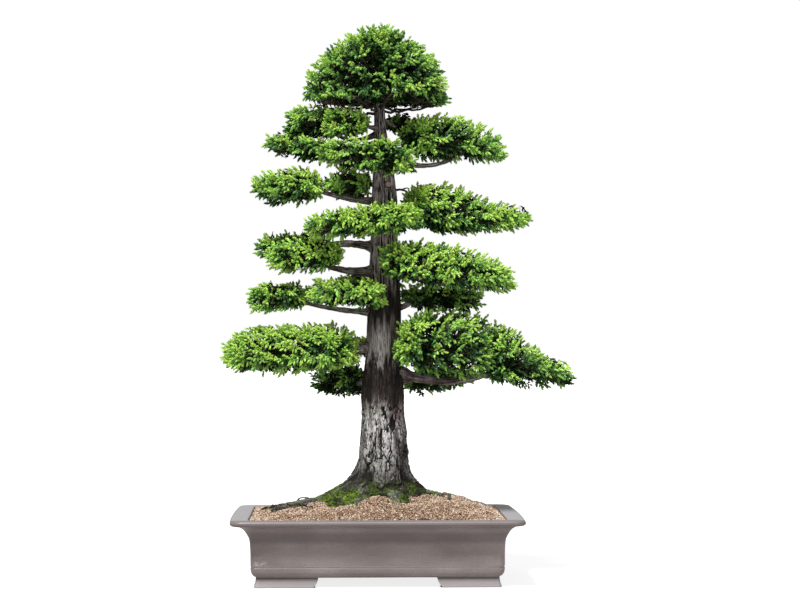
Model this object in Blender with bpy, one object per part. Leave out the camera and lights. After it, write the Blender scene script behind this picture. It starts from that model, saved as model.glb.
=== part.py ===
"""Cryptomeria bonsai: a straight tree with clipped pads of foliage, in a footed rectangular pot.

Metres, +Z up. z = 0 is the surface that the pot's feet stand on, +X is to the right of the
tree's front and +Y is behind it. Every size below is given from the middle of the pot; one
empty then shifts the whole plant so that the origin is under the middle of its bounding box.
"""

import math
from collections import namedtuple

import bmesh
import bpy
import numpy as np
from mathutils import Vector

SEED = 20
GAP = 0.0003
PLAN_CENTRE = (0.0474, 0.0341)

# Pot, from the middle of its foot print
LIP_HALF_LENGTH = 0.300
LIP_HALF_DEPTH = 0.210
LIP_TOP = 0.139
LIP_CORNER = 0.026
CORNER_STEPS = 4
UNDERSIDE = 0.020
FLOOR_TOP = 0.032
POT_OUTSIDE = (  # inset from the lip's outline, height
    (0.0520, UNDERSIDE),
    (0.0430, 0.0245),
    (0.0405, 0.0310),
    (0.0410, 0.0385),
    (0.0440, 0.0423),
    (0.0412, 0.0465),
    (0.0398, 0.0700),
    (0.0380, 0.0960),
    (0.0355, 0.1040),
    (0.0310, 0.1120),
    (0.0262, 0.1190),
    (0.0180, 0.1250),
    (0.0030, 0.1280),
    (0.0000, 0.1320),
    (0.0005, 0.1360),
    (0.0035, LIP_TOP),
)
POT_INSIDE = (
    (0.0330, LIP_TOP),
    (0.0352, 0.1372),
    (0.0390, 0.1190),
    (0.0505, 0.0960),
    (0.0530, 0.0450),
    (0.0600, FLOOR_TOP),
)
FOOT_INSET = 0.0505
FOOT_LENGTH = 0.1185
FOOT_DEPTH = 0.0780
FOOT_WALL = 0.0240
FOOT_FLARE = 0.0045
DRAIN_RADIUS = 0.0125
DRAIN_OFFSET = 0.110

# Soil, mounded towards the tree and to the right of it
SOIL_EDGE = 0.1365
MOUND_RISE = 0.0410
MOUND_PEAK = (0.085, 0.010)
MOUND_POWER = 2.3
Hummock = namedtuple("Hummock", "height along_x along_y phase")
HUMMOCKS = (  # the ground's unevenness, as waves with so many radians in a metre
    Hummock(0.0017, 74, 31, 0.4),
    Hummock(0.0014, -38, 86, 2.1),
)
SOIL_SPACING = 0.036

# Trunk: height, sideways place of its middle, radius
GROUND_CUT = 0.150
TRUNK_TIP = 1.128
TRUNK_SIDES = 24
TRUNK = (
    (0.150, 0.008, 0.0860),
    (0.165, 0.008, 0.0790),
    (0.180, 0.008, 0.0725),
    (0.195, 0.009, 0.0660),
    (0.210, 0.011, 0.0600),
    (0.228, 0.012, 0.0550),
    (0.255, 0.015, 0.0510),
    (0.304, 0.015, 0.0488),
    (0.345, 0.014, 0.0455),
    (0.385, 0.013, 0.0460),
    (0.485, 0.016, 0.0362),
    (0.566, 0.016, 0.0330),
    (0.723, 0.016, 0.0275),
    (0.800, 0.017, 0.0262),
    (0.860, 0.015, 0.0215),
    (0.910, 0.012, 0.0165),
    (0.953, 0.008, 0.0122),
    (1.002, 0.006, 0.0103),
    (1.070, 0.004, 0.0075),
    (TRUNK_TIP, 0.003, 0.0030),
)
FLARE_TOP = 0.262
FLARE_POWER = 2.6
FLUTE_DEPTH = 0.045
RIDGES = 8  # of bark, that wind a little on their way up
RIDGE_HEIGHT = 0.035
Root = namedtuple("Root", "azimuth reach spread")
ROOTS = (  # degrees from +X, how far it stands out at the cut, half-width in degrees
    Root(180, 0.105, 17),
    Root(-3, 0.100, 15),
    Root(238, 0.040, 16),
    Root(296, 0.046, 17),
    Root(212, 0.050, 13),
    Root(48, 0.050, 17),
    Root(95, 0.040, 18),
    Root(137, 0.055, 16),
)
Runner = namedtuple("Runner", "azimuth start length turn radius tip")
RUNNERS = (  # surface roots that snake over the soil
    Runner(184, 0.085, 0.175, 0.30, 0.0125, 0.0030),
    Runner(197, 0.080, 0.120, -0.50, 0.0085, 0.0025),
    Runner(-6, 0.080, 0.055, -0.60, 0.0100, 0.0055),
)
Stub = namedtuple("Stub", "height azimuth length radius")
STUBS = (Stub(0.835, 276, 0.012, 0.0065), Stub(0.822, 8, 0.034, 0.0028))

# Foliage: each mass is a rounded pad about a line from its inner end to its tip.
# half_width is level, rise and drop are above and below the line, peak is how far along it the
# pad is widest, and taper and heel are how blunt its tip and its inner end are. sprays is how
# many stand out of its core.
Pad = namedtuple("Pad", "name inner tip half_width rise drop peak taper sprays heel", defaults=(2.4,))
PADS = (
    Pad("apex_dome", (-0.154, 0.0, 1.024), (0.162, 0.0, 1.022), 0.138, 0.156, 0.02, 0.5, 1.3, 34, 1.3),
    Pad("high_left_rear", (-0.052, 0.08, 0.966), (-0.207, 0.06, 0.96), 0.056, 0.063, 0.028, 0.68, 2.2, 12),
    Pad("high_left_front", (-0.012, -0.04, 0.957), (-0.124, -0.05, 0.961), 0.05, 0.044, 0.032, 0.5, 2.4, 10),
    Pad("high_left_low", (-0.082, 0.02, 0.902), (-0.245, 0.02, 0.926), 0.06, 0.036, 0.029, 0.45, 1.8, 11),
    Pad("high_front", (0.094, -0.082, 0.882), (-0.132, -0.086, 0.893), 0.056, 0.046, 0.038, 0.42, 2.2, 15),
    Pad("high_right", (0.046, -0.005, 0.931), (0.284, -0.005, 0.909), 0.078, 0.064, 0.04, 0.42, 1.8, 16),
    Pad("high_right_rear", (0.028, 0.078, 0.98), (0.098, 0.15, 0.976), 0.046, 0.026, 0.024, 0.5, 2.2, 7),
    Pad("upper_left_outer", (-0.108, -0.005, 0.834), (-0.268, -0.005, 0.831), 0.078,
        0.043, 0.043, 0.45, 2.4, 14),
    Pad("upper_left_inner", (-0.004, 0.024, 0.836), (-0.123, 0.03, 0.838), 0.058, 0.038, 0.034, 0.5, 2.4, 9),
    Pad("upper_front", (0.094, -0.098, 0.761), (-0.17, -0.088, 0.742), 0.068, 0.044, 0.036, 0.38, 2.0, 17),
    Pad("upper_right", (0.05, 0.008, 0.78), (0.334, 0.0, 0.757), 0.09, 0.072, 0.043, 0.34, 1.1, 19),
    Pad("mid_left_rear", (-0.095, 0.082, 0.706), (-0.265, 0.066, 0.7), 0.06, 0.044, 0.032, 0.58, 2.2, 11),
    Pad("mid_left_front", (-0.066, -0.026, 0.688), (-0.242, -0.034, 0.68), 0.062, 0.044, 0.04, 0.5, 2.0, 14),
    Pad("mid_right", (-0.002, -0.082, 0.664), (0.306, -0.045, 0.628), 0.078, 0.067, 0.036, 0.42, 1.7, 19),
    Pad("mid_right_rear", (0.046, 0.075, 0.602), (0.239, 0.06, 0.596), 0.062, 0.036, 0.038, 0.5, 2.4, 11),
    Pad("mid_left_low", (0.03, -0.07, 0.598), (-0.158, -0.05, 0.603), 0.066, 0.044, 0.031, 0.5, 2.4, 15),
    Pad("mid_left_outer", (-0.138, 0.0, 0.6), (-0.283, -0.005, 0.59), 0.058, 0.041, 0.035, 0.58, 2.2, 10),
    Pad("low_left", (-0.036, -0.025, 0.482), (-0.34, -0.03, 0.468), 0.098, 0.07, 0.043, 0.46, 2.3, 21),
    Pad("low_left_rear", (-0.016, 0.105, 0.416), (-0.14, 0.16, 0.414), 0.062, 0.047, 0.04, 0.4, 2.0, 11),
    Pad("low_right_inner", (0.034, -0.06, 0.498), (0.25, -0.05, 0.484), 0.086, 0.08, 0.055, 0.5, 2.4, 19),
    Pad("low_right_outer", (0.229, -0.03, 0.47), (0.43, -0.005, 0.423), 0.078, 0.072, 0.046, 0.2, 1.1, 15),
    Pad("low_right_rear", (0.052, 0.105, 0.416), (0.222, 0.16, 0.43), 0.062, 0.026, 0.036, 0.5, 2.0, 12),
    Pad("back_high", (0.01, 0.062, 0.905), (0.012, 0.19, 0.9), 0.07, 0.03, 0.028, 0.55, 2.2, 12),
    Pad("back_upper", (-0.004, 0.07, 0.766), (-0.004, 0.24, 0.76), 0.08, 0.032, 0.03, 0.55, 2.2, 12),
    Pad("back_mid", (-0.006, 0.072, 0.632), (-0.034, 0.268, 0.622), 0.082, 0.032, 0.022, 0.55, 2.2, 12),
    Pad("back_low", (0.018, 0.07, 0.492), (0.026, 0.29, 0.486), 0.094, 0.034, 0.026, 0.55, 2.2, 14),
)
PAD_POWER = 2.6
CORE_INSET = 0.0115
UNDER_INSET = 0.0060
LUMPS = 9
LUMP_HEIGHT = 0.10
SPRAY_LENGTH = 0.052
SPRAY_WIDTH = 0.040
SPRAY_THICKNESS = 0.0042
ROOTED = 0.86
SPRAY_ATTEMPTS = 5
LEAN_OUT = 0.40  # shares of a spray's direction: off the skin, along the pad, up
LEAN_ALONG = 0.40
LEAN_UP = 0.24
LEAN_SPREAD = 0.16
ROLL_SPREAD = 0.70
TWIG_EVERY = 5
TWIG_RADIUS = 0.0024
TWIG_TIP = 0.0014
LIMB_CLEARANCE = 0.0025
BORDER = 0.03

# Boughs: height where each leaves the trunk, radii, where along its pad it enters, and how far
# the middle of its curve stands above a straight line.
Bough = namedtuple("Bough", "pad height radius tip entry bow")
BOUGHS = (
    Bough("high_left_rear", 0.950, 0.0062, 0.0038, 0.35, -0.022),
    Bough("high_left_front", 0.956, 0.0055, 0.0040, 0.25, 0.000),
    Bough("high_left_low", 0.915, 0.0066, 0.0040, 0.35, -0.012),
    Bough("high_front", 0.884, 0.0070, 0.0048, 0.40, 0.004),
    Bough("high_right", 0.906, 0.0080, 0.0042, 0.66, -0.034),
    Bough("high_right_rear", 0.985, 0.0055, 0.0036, 0.45, -0.012),
    Bough("upper_left_outer", 0.802, 0.0080, 0.0050, 0.25, -0.010),
    Bough("upper_left_inner", 0.836, 0.0060, 0.0042, 0.35, 0.000),
    Bough("upper_front", 0.748, 0.0095, 0.0062, 0.42, 0.002),
    Bough("upper_right", 0.768, 0.0100, 0.0070, 0.30, -0.006),
    Bough("mid_left_rear", 0.700, 0.0078, 0.0050, 0.30, 0.010),
    Bough("mid_left_front", 0.654, 0.0090, 0.0046, 0.55, -0.014),
    Bough("mid_right", 0.640, 0.0100, 0.0068, 0.35, -0.004),
    Bough("mid_right_rear", 0.566, 0.0085, 0.0058, 0.30, -0.004),
    Bough("mid_left_low", 0.592, 0.0085, 0.0060, 0.40, -0.004),
    Bough("mid_left_outer", 0.566, 0.0078, 0.0042, 0.35, -0.010),
    Bough("low_left", 0.500, 0.0130, 0.0090, 0.25, -0.004),
    Bough("low_left_rear", 0.398, 0.0090, 0.0058, 0.35, 0.004),
    Bough("low_right_inner", 0.490, 0.0130, 0.0095, 0.30, 0.000),
    Bough("low_right_outer", 0.450, 0.0165, 0.0070, 0.30, -0.034),
    Bough("low_right_rear", 0.412, 0.0095, 0.0058, 0.35, 0.002),
    Bough("back_high", 0.905, 0.0066, 0.0044, 0.35, -0.004),
    Bough("back_upper", 0.762, 0.0085, 0.0056, 0.35, -0.004),
    Bough("back_mid", 0.612, 0.0095, 0.0060, 0.35, -0.004),
    Bough("back_low", 0.478, 0.0120, 0.0072, 0.35, -0.004),
)
FROM_TRUNK = ("mid_right", "mid_left_low", "low_right_inner")  # a stem and no bough of their own
BOUGH_SIDES = 6
BOUGH_STEPS = 6
BOUGH_WAVE = 0.0035

Finish = namedtuple("Finish", "colour roughness")
BARK = Finish((0.165, 0.120, 0.100), 0.90)
FOLIAGE = Finish((0.105, 0.250, 0.030), 0.75)
GLAZE = Finish((0.230, 0.190, 0.175), 0.38)
GRIT = Finish((0.520, 0.330, 0.180), 0.95)


def clear_scene():
    for obj in list(bpy.data.objects):
        bpy.data.objects.remove(obj)


def principled(name, finish):
    material = bpy.data.materials.new(name)
    material.use_nodes = True
    shader = material.node_tree.nodes["Principled BSDF"]
    shader.inputs["Base Color"].default_value = (*finish.colour, 1.0)
    shader.inputs["Roughness"].default_value = finish.roughness
    shader.inputs["Metallic"].default_value = 0.0
    return material


def object_from(name, points, faces):
    mesh = bpy.data.meshes.new(name)
    mesh.from_pydata([tuple(map(float, point)) for point in points], [], faces)
    mesh.validate()
    obj = bpy.data.objects.new(name, mesh)
    bpy.context.scene.collection.objects.link(obj)
    return obj


def finished(obj, parent, finish, sharp_degrees=None):
    obj.data.materials.clear()
    obj.data.materials.append(principled(obj.name, finish))
    obj.parent = parent
    if sharp_degrees is not None:
        obj.data.shade_smooth()
        obj.data.set_sharp_from_angle(angle=math.radians(sharp_degrees))
    return obj


def apply_boolean(target, operation, others, solver="EXACT"):
    """Join the others to the target, or cut them from it, and remove them."""
    group = bpy.data.collections.new("joining")
    bpy.context.scene.collection.children.link(group)
    for other in others:
        group.objects.link(other)
    modifier = target.modifiers.new("join", "BOOLEAN")
    modifier.operation = operation
    modifier.operand_type = "COLLECTION"
    modifier.collection = group
    modifier.solver = solver
    graph = bpy.context.evaluated_depsgraph_get()
    result = bpy.data.meshes.new_from_object(target.evaluated_get(graph))
    target.modifiers.clear()
    bpy.data.collections.remove(group)
    return result


def remove_all(objects):
    for obj in objects:
        bpy.data.objects.remove(obj)


def signed_volume(faces):
    total = 0.0
    for face in faces:
        first = face.verts[0].co
        for near, far in zip(face.verts[1:-1], face.verts[2:]):
            total += first.dot(near.co.cross(far.co)) / 6
    return total


def shells(bm):
    """The connected groups of faces."""
    left = set(bm.faces)
    while left:
        group = []
        waiting = [left.pop()]
        while waiting:
            face = waiting.pop()
            group.append(face)
            for edge in face.edges:
                for other in edge.link_faces:
                    if other in left:
                        left.remove(other)
                        waiting.append(other)
        yield group


def keep_main_shell(mesh):
    """Drop loose scraps and fill sealed hollows; return whether what stays is closed."""
    bm = bmesh.new()
    bm.from_mesh(mesh)
    bmesh.ops.dissolve_degenerate(bm, dist=1e-6, edges=bm.edges)
    bmesh.ops.triangulate(bm, faces=bm.faces)
    groups = sorted(shells(bm), key=signed_volume)
    for group in groups[:-1]:
        bmesh.ops.delete(bm, geom=group, context="FACES")
    closed = bool(bm.faces) and all(len(edge.link_faces) == 2 for edge in bm.edges)
    bm.to_mesh(mesh)
    bm.free()
    return closed


def fuse(name, pieces, cutters=()):
    """One closed solid from overlapping pieces, less the cutters. Both are used up."""
    target = pieces[0]
    original = target.data
    for solver in ("EXACT", "MANIFOLD"):
        mesh = apply_boolean(target, "UNION", pieces[1:], solver) if len(pieces) > 1 else original.copy()
        closed = keep_main_shell(mesh)
        if closed and cutters:
            target.data = mesh
            mesh = apply_boolean(target, "DIFFERENCE", list(cutters), solver)
            closed = keep_main_shell(mesh)
        if closed:
            break
        target.data = original
    remove_all([*pieces[1:], *cutters])
    target.data = mesh
    target.name = name
    mesh.name = name
    return closed


def unit(vector):
    vector = np.asarray(vector, float)
    return vector / np.linalg.norm(vector)


def loft(name, rings):
    """Closed solid through rings of equally many points, with flat ends."""
    count = len(rings[0])
    points = [point for ring in rings for point in ring]
    faces = [tuple(reversed(range(count)))]
    for level in range(len(rings) - 1):
        low = level * count
        for i in range(count):
            j = (i + 1) % count
            faces.append((low + i, low + j, low + count + j))
            faces.append((low + i, low + count + j, low + count + i))
    faces.append(tuple(range(len(points) - count, len(points))))
    return object_from(name, points, faces)


def tube(name, centres, radii, sides, start=None, end=None):
    """Tapering round limb along centres, its ends cut square to the start and end directions."""
    centres = np.asarray(centres, float)
    along = np.gradient(centres, axis=0)
    along[0] = centres[1] - centres[0] if start is None else start
    along[-1] = centres[-1] - centres[-2] if end is None else end
    rings = []
    across = unit(np.cross(along[0], (0.31, 0.17, 0.94)))
    for centre, direction, radius in zip(centres, along, radii):
        direction = unit(direction)
        across = unit(across - direction * across.dot(direction))
        other = np.cross(direction, across)
        turns = 2 * math.pi * np.arange(sides) / sides
        rings.append([centre + radius * (math.cos(a) * across + math.sin(a) * other) for a in turns])
    return loft(name, rings)


# --- Pot ---------------------------------------------------------------------------------


def rounded_rectangle(inset, height):
    half_x = LIP_HALF_LENGTH - inset
    half_y = LIP_HALF_DEPTH - inset
    corner = max(LIP_CORNER - 0.3 * inset, 0.010)
    ring = []
    for quarter in range(4):
        sign_x = 1 if quarter in (0, 3) else -1
        sign_y = 1 if quarter in (0, 1) else -1
        for step in range(CORNER_STEPS + 1):
            angle = math.pi / 2 * (quarter + step / CORNER_STEPS)
            x = sign_x * (half_x - corner) + corner * math.cos(angle)
            y = sign_y * (half_y - corner) + corner * math.sin(angle)
            ring.append((x, y, height))
    return ring


def pot_foot(sign_x, sign_y):
    """L-shaped corner foot, a little wider at the ground."""

    def outline(flare, height):
        outer_x = LIP_HALF_LENGTH - FOOT_INSET + flare
        outer_y = LIP_HALF_DEPTH - FOOT_INSET + flare
        end_x = LIP_HALF_LENGTH - FOOT_INSET - FOOT_LENGTH - 2 * (FOOT_FLARE - flare)
        end_y = LIP_HALF_DEPTH - FOOT_INSET - FOOT_DEPTH - 2 * (FOOT_FLARE - flare)
        inner_x = outer_x - FOOT_WALL - 2 * flare
        inner_y = outer_y - FOOT_WALL - 2 * flare
        corner = 0.007
        flat = (
            (outer_x, end_y),
            (outer_x, outer_y - corner),
            (outer_x - corner, outer_y),
            (end_x, outer_y),
            (end_x, inner_y),
            (inner_x, inner_y),
            (inner_x, end_y),
        )
        turned = flat if sign_x * sign_y > 0 else tuple(reversed(flat))
        return [(sign_x * x, sign_y * y, height) for x, y in turned]

    rings = [outline(FOOT_FLARE, 0.0), outline(FOOT_FLARE * 0.35, 0.008), outline(0.0, UNDERSIDE + 0.004)]
    return loft("foot", rings)


def drain(x):
    centres = [(x, 0.0, UNDERSIDE - 0.01), (x, 0.0, FLOOR_TOP + 0.01)]
    return tube("drain", centres, [DRAIN_RADIUS] * 2, 12)


def make_pot(parent):
    rings = [rounded_rectangle(*row) for row in POT_OUTSIDE + POT_INSIDE]
    body = loft("pot", rings)
    feet = [pot_foot(sign_x, sign_y) for sign_x in (1, -1) for sign_y in (1, -1)]
    drains = [drain(DRAIN_OFFSET), drain(-DRAIN_OFFSET)]
    fuse("pot", [body, *feet], drains)
    finished(body, parent, GLAZE, 40)


# --- Trunk -------------------------------------------------------------------------------


def trunk_middle(height):
    rows = np.array(TRUNK)
    return np.array([np.interp(height, rows[:, 0], rows[:, 1]), 0.0, height])


def trunk_radius(height):
    rows = np.array(TRUNK)
    return float(np.interp(height, rows[:, 0], rows[:, 2]))


def flare(height, angle):
    """How far the root buttresses stand out at this height and angle."""
    share = max(0.0, (FLARE_TOP - height) / (FLARE_TOP - GROUND_CUT)) ** FLARE_POWER
    out = 0.0
    for root in ROOTS:
        away = (math.degrees(angle) - root.azimuth + 180) % 360 - 180
        out += root.reach * share * math.exp(-0.5 * (away / root.spread) ** 2)
    return out


def trunk_surface(height, angle):
    flute = FLUTE_DEPTH * math.sin(5 * angle + 4 * height) * math.sin(3 * angle - 7 * height)
    ridge = RIDGE_HEIGHT * math.cos(RIDGES * angle + 3 * math.sin(11 * height))
    return trunk_radius(height) * (1 + flute + ridge) + flare(height, angle)


def trunk_rings(grow):
    rings = []
    for height, middle_x, _ in TRUNK:
        ring = []
        for side in range(TRUNK_SIDES):
            angle = 2 * math.pi * side / TRUNK_SIDES
            level = height
            if height == GROUND_CUT:
                level -= grow
            if height == TRUNK_TIP:
                level += grow
            out = trunk_surface(level, angle) + grow
            ring.append((middle_x + out * math.cos(angle), out * math.sin(angle), level))
        rings.append(ring)
    return rings


def runner_path(runner, steps=7):
    """A surface root's middle line, lying half sunk in the soil."""
    points = []
    heading = math.radians(runner.azimuth)
    place = np.array([trunk_middle(GROUND_CUT)[0], 0.0])
    place += runner.start * 0.6 * np.array([math.cos(heading), math.sin(heading)])
    step_length = (runner.length + runner.start * 0.4) / (steps - 1)
    for step in range(steps):
        radius = runner.radius + (runner.tip - runner.radius) * step / (steps - 1)
        points.append((place[0], place[1], soil_height(place[0], place[1]) + 0.45 * radius))
        bend = runner.turn * math.sin(2.4 * math.pi * step / (steps - 1))
        place = place + step_length * np.array([math.cos(heading + bend), math.sin(heading + bend)])
    return points


def runner_tube(runner, grow=0.0):
    steps = 7
    radii = np.linspace(runner.radius, runner.tip, steps) + grow
    points = np.array(runner_path(runner, steps))
    if grow:
        points[-1] += unit(points[-1] - points[-2]) * grow
    return tube("runner", points, radii, 6)


def stub_tube(stub, grow=0.0):
    direction = np.array([math.cos(math.radians(stub.azimuth)), math.sin(math.radians(stub.azimuth)), 0.0])
    middle = trunk_middle(stub.height)
    far = trunk_radius(stub.height) + stub.length
    centres = [middle + direction * trunk_radius(stub.height) * 0.5, middle + direction * (far + grow)]
    return tube("stub", centres, [stub.radius + grow, stub.radius * 0.9 + grow], 7)


def below_ground(grow=0.0):
    """A block under the flat cut, as a cutter."""
    half = 0.5
    corners = [(-half, -half), (half, -half), (half, half), (-half, half)]
    top = GROUND_CUT - grow
    rings = [[(x, y, top - 0.1) for x, y in corners], [(x, y, top) for x, y in corners]]
    return loft("ground", rings)


def trunk_solid(name, grow=0.0):
    body = loft(name, trunk_rings(grow))
    runners = [runner_tube(runner, grow) for runner in RUNNERS]
    stubs = [stub_tube(stub, grow) for stub in STUBS]
    fuse(name, [body, *runners, *stubs], [below_ground(grow)])
    return body


# --- Soil --------------------------------------------------------------------------------


def soil_height(x, y):
    edge_x = LIP_HALF_LENGTH - POT_INSIDE[1][0]
    edge_y = LIP_HALF_DEPTH - POT_INSIDE[1][0]
    run_x = edge_x - math.copysign(MOUND_PEAK[0], x - MOUND_PEAK[0])
    run_y = edge_y - math.copysign(MOUND_PEAK[1], y - MOUND_PEAK[1])
    share_x = 1 - min(1.0, abs(x - MOUND_PEAK[0]) / run_x) ** MOUND_POWER
    share_y = 1 - min(1.0, abs(y - MOUND_PEAK[1]) / run_y) ** MOUND_POWER
    waves = (row.height * math.sin(row.along_x * x + row.along_y * y + row.phase) for row in HUMMOCKS)
    return SOIL_EDGE + MOUND_RISE * share_x * share_y + min(1.0, 4 * share_x * share_y) * sum(waves)


def cut_into_cells(bm, axis, half):
    """Cut the level faces at the soil's edge height across this axis, evenly."""
    cells = int(2 * half / SOIL_SPACING)
    for cut in range(1, cells):
        place = Vector((0.0, 0.0, SOIL_EDGE))
        place[axis] = -half + 2 * half * cut / cells
        normal = Vector((0.0, 0.0, 0.0))
        normal[axis] = 1.0
        flat = [face for face in bm.faces if all(abs(v.co.z - SOIL_EDGE) < 1e-6 for v in face.verts)]
        edges = dict.fromkeys(edge for face in flat for edge in face.edges)
        bmesh.ops.bisect_plane(bm, geom=[*flat, *edges], plane_co=place, plane_no=normal)


def make_soil(parent):
    """Fills the pot: a grid on top, and sides that follow the inside of the pot."""
    bm = bmesh.new()
    rims = []
    for inset, height in reversed(POT_INSIDE[1:]):
        level = min(max(height, FLOOR_TOP + GAP), SOIL_EDGE)
        ring = rounded_rectangle(inset + GAP, level)
        rims.append([bm.verts.new(point) for point in ring])
    bm.faces.new(list(reversed(rims[0])))
    for low, high in zip(rims, rims[1:]):
        for i in range(len(low)):
            j = (i + 1) % len(low)
            bm.faces.new((low[i], low[j], high[j], high[i]))
    bm.faces.new(rims[-1])
    cut_into_cells(bm, 0, LIP_HALF_LENGTH - POT_INSIDE[1][0])
    cut_into_cells(bm, 1, LIP_HALF_DEPTH - POT_INSIDE[1][0])
    level = [vert for vert in bm.verts if abs(vert.co.z - SOIL_EDGE) < 1e-6]
    for vert in level:
        vert.co.z = soil_height(vert.co.x, vert.co.y)
    bmesh.ops.triangulate(bm, faces=bm.faces)
    mesh = bpy.data.meshes.new("soil")
    bm.to_mesh(mesh)
    bm.free()
    soil = bpy.data.objects.new("soil", mesh)
    bpy.context.scene.collection.objects.link(soil)
    fuse("soil", [soil], [trunk_solid("cutter", 3 * GAP)])
    finished(soil, parent, GRIT, 50)


# --- Boughs ------------------------------------------------------------------------------


def pad_named(name):
    return next(pad for pad in PADS if pad.name == name)


def spine(pad, share):
    inner = np.array(pad.inner)
    return inner + share * (np.array(pad.tip) - inner)


def bough_curve(bough):
    """Points from inside the trunk to the middle of the pad, and the share where they enter it."""
    pad = pad_named(bough.pad)
    start = trunk_middle(bough.height)
    end = spine(pad, bough.entry)
    middle = (start + end) / 2
    middle[2] += bough.bow * 2
    rng = np.random.default_rng([SEED, round(bough.height * 1000)])
    phase = rng.uniform(0, 2 * math.pi)
    sideways = unit(np.cross(end - start, (0, 0, 1)))
    shares = np.linspace(0, 1, 81)[:, None]
    points = (1 - shares) ** 2 * start + 2 * shares * (1 - shares) * middle + shares**2 * end
    wave = BOUGH_WAVE * np.sin(shares * 2 * math.pi * 1.3 + phase) * np.sin(shares * math.pi)
    points = points + wave * sideways
    inside = [reach(pad, point) for point in points]
    enters = next(i for i in range(len(points)) if inside[i] < 1.0 and i > 4)
    return points, enters


def entry_direction(points, enters):
    return unit(points[enters + 1] - points[enters - 1])


def bough_radii(bough, points, enters):
    shares = np.arange(len(points)) / max(enters, 1)
    return bough.radius + (bough.tip - bough.radius) * shares


def resampled(values, first, last, count):
    spots = np.linspace(first, last, count)
    ticks = np.arange(len(values))
    if values.ndim == 1:
        return np.interp(spots, ticks, values)
    return np.stack([np.interp(spots, ticks, values[:, k]) for k in range(values.shape[1])], axis=1)


def make_bough(bough, parent):
    points, enters = bough_curve(bough)
    radii = bough_radii(bough, points, enters)
    path = resampled(points, 0, enters, BOUGH_STEPS)
    name = bough.pad + "_bough"
    end = entry_direction(points, enters)
    limb = tube(name, path, resampled(radii, 0, enters, BOUGH_STEPS), BOUGH_SIDES, end=end)
    fuse(name, [limb], [trunk_solid("cutter", GAP * 1.2)])
    finished(limb, parent, BARK, 50)


def stem_tube(bough):
    """The mass's one stem: it goes on from the bough's tip, a gap away."""
    points, enters = bough_curve(bough)
    radii = bough_radii(bough, points, enters)
    if bough.pad in FROM_TRUNK:
        enters = 1
    direction = entry_direction(points, enters)
    path = resampled(points, enters, len(points) - 1, 4)
    path[0] += direction * GAP
    thick = float(radii[enters])
    return tube("stem", path, np.linspace(thick, thick * 0.6, 4), BOUGH_SIDES, start=direction)


# --- Foliage -----------------------------------------------------------------------------


def pad_axes(pad):
    along = np.array(pad.tip) - np.array(pad.inner)
    length = float(np.linalg.norm(along))
    side = unit(np.cross((0, 0, 1), along))
    return along, length, side


def lump_directions(pad):
    rng = np.random.default_rng([SEED, len(pad.name), round(abs(pad.tip[0]) * 1e4)])
    directions = rng.normal(size=(LUMPS, 3))
    return directions / np.linalg.norm(directions, axis=1)[:, None]


LUMP_TABLE = {pad.name: lump_directions(pad) for pad in PADS}


def lumpiness(pad, direction):
    """How far the pad bulges towards this direction of its unit sphere, about 1."""
    peaks = np.exp(7 * (LUMP_TABLE[pad.name] @ direction - 1))
    return 1 - LUMP_HEIGHT / 2 + LUMP_HEIGHT * min(1.0, float(peaks.max()) * 1.2)


def on_pad(pad, direction, scale=1.0, inset=0.0, under=0.0):
    """The point of the pad's skin for a direction of the unit sphere (along, side, up)."""
    along, length, side = pad_axes(pad)
    direction = unit(direction)
    full = direction / (np.abs(direction) ** PAD_POWER).sum() ** (1 / PAD_POWER)
    power = pad.taper if direction[0] > 0 else pad.heel
    share = abs(full[0]) ** (2 / power)
    bulge = lumpiness(pad, direction) * scale
    run = (1 - pad.peak) * length if direction[0] > 0 else pad.peak * length
    forward = math.copysign(share * max(run - inset, 0.01) * bulge, direction[0])
    sideways = full[1] * (pad.half_width - inset) * bulge
    height = full[2] * ((pad.rise - inset) if full[2] > 0 else (pad.drop - under)) * bulge
    middle = spine(pad, pad.peak)
    return middle + forward * along / length + sideways * side + np.array([0, 0, height])


def reach(pad, point, inset=0.0, under=0.0):
    """0 at the pad's middle, 1 on its skin (or on its core's, for an inset), more outside."""
    along, length, side = pad_axes(pad)
    away = np.asarray(point, float) - spine(pad, pad.peak)
    level = along.copy()
    level[2] = 0
    level_length = np.linalg.norm(level)
    forward = away.dot(level) / level_length * length / level_length
    sideways = away.dot(side)
    height = away[2] - forward / length * along[2]
    run = ((1 - pad.peak) if forward > 0 else pad.peak) * length - inset
    power = pad.taper if forward > 0 else pad.heel
    first = (abs(forward) / max(run, 0.01)) ** (power / 2)
    second = sideways / (pad.half_width - inset)
    third = height / ((pad.rise - inset) if height > 0 else (pad.drop - under))
    direction = np.array([math.copysign(first, forward), second, third])
    size = (np.abs(direction) ** PAD_POWER).sum() ** (1 / PAD_POWER)
    if size < 1e-6:
        return 0.0
    return size / lumpiness(pad, unit(direction))


def sphere_grid(around, levels):
    """Directions and faces of a sphere whose poles lie along the pad."""
    points = [(-1.0, 0.0, 0.0)]
    for level in range(1, levels):
        polar = math.pi * level / levels
        for step in range(around):
            angle = 2 * math.pi * (step + 0.5 * (level % 2)) / around
            wide = math.sin(polar)
            points.append((-math.cos(polar), wide * math.cos(angle), wide * math.sin(angle)))
    points.append((1.0, 0.0, 0.0))
    faces = []
    last = len(points) - 1
    for step in range(around):
        after = (step + 1) % around
        faces.append((0, 1 + after, 1 + step))
        faces.append((last, last - around + step, last - around + after))
        for level in range(levels - 2):
            low = 1 + level * around
            high = low + around
            lean = level % 2
            if lean:
                faces.append((low + step, low + after, high + step))
                faces.append((low + after, high + after, high + step))
            else:
                faces.append((low + step, low + after, high + after))
                faces.append((low + step, high + after, high + step))
    return points, faces


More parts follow.
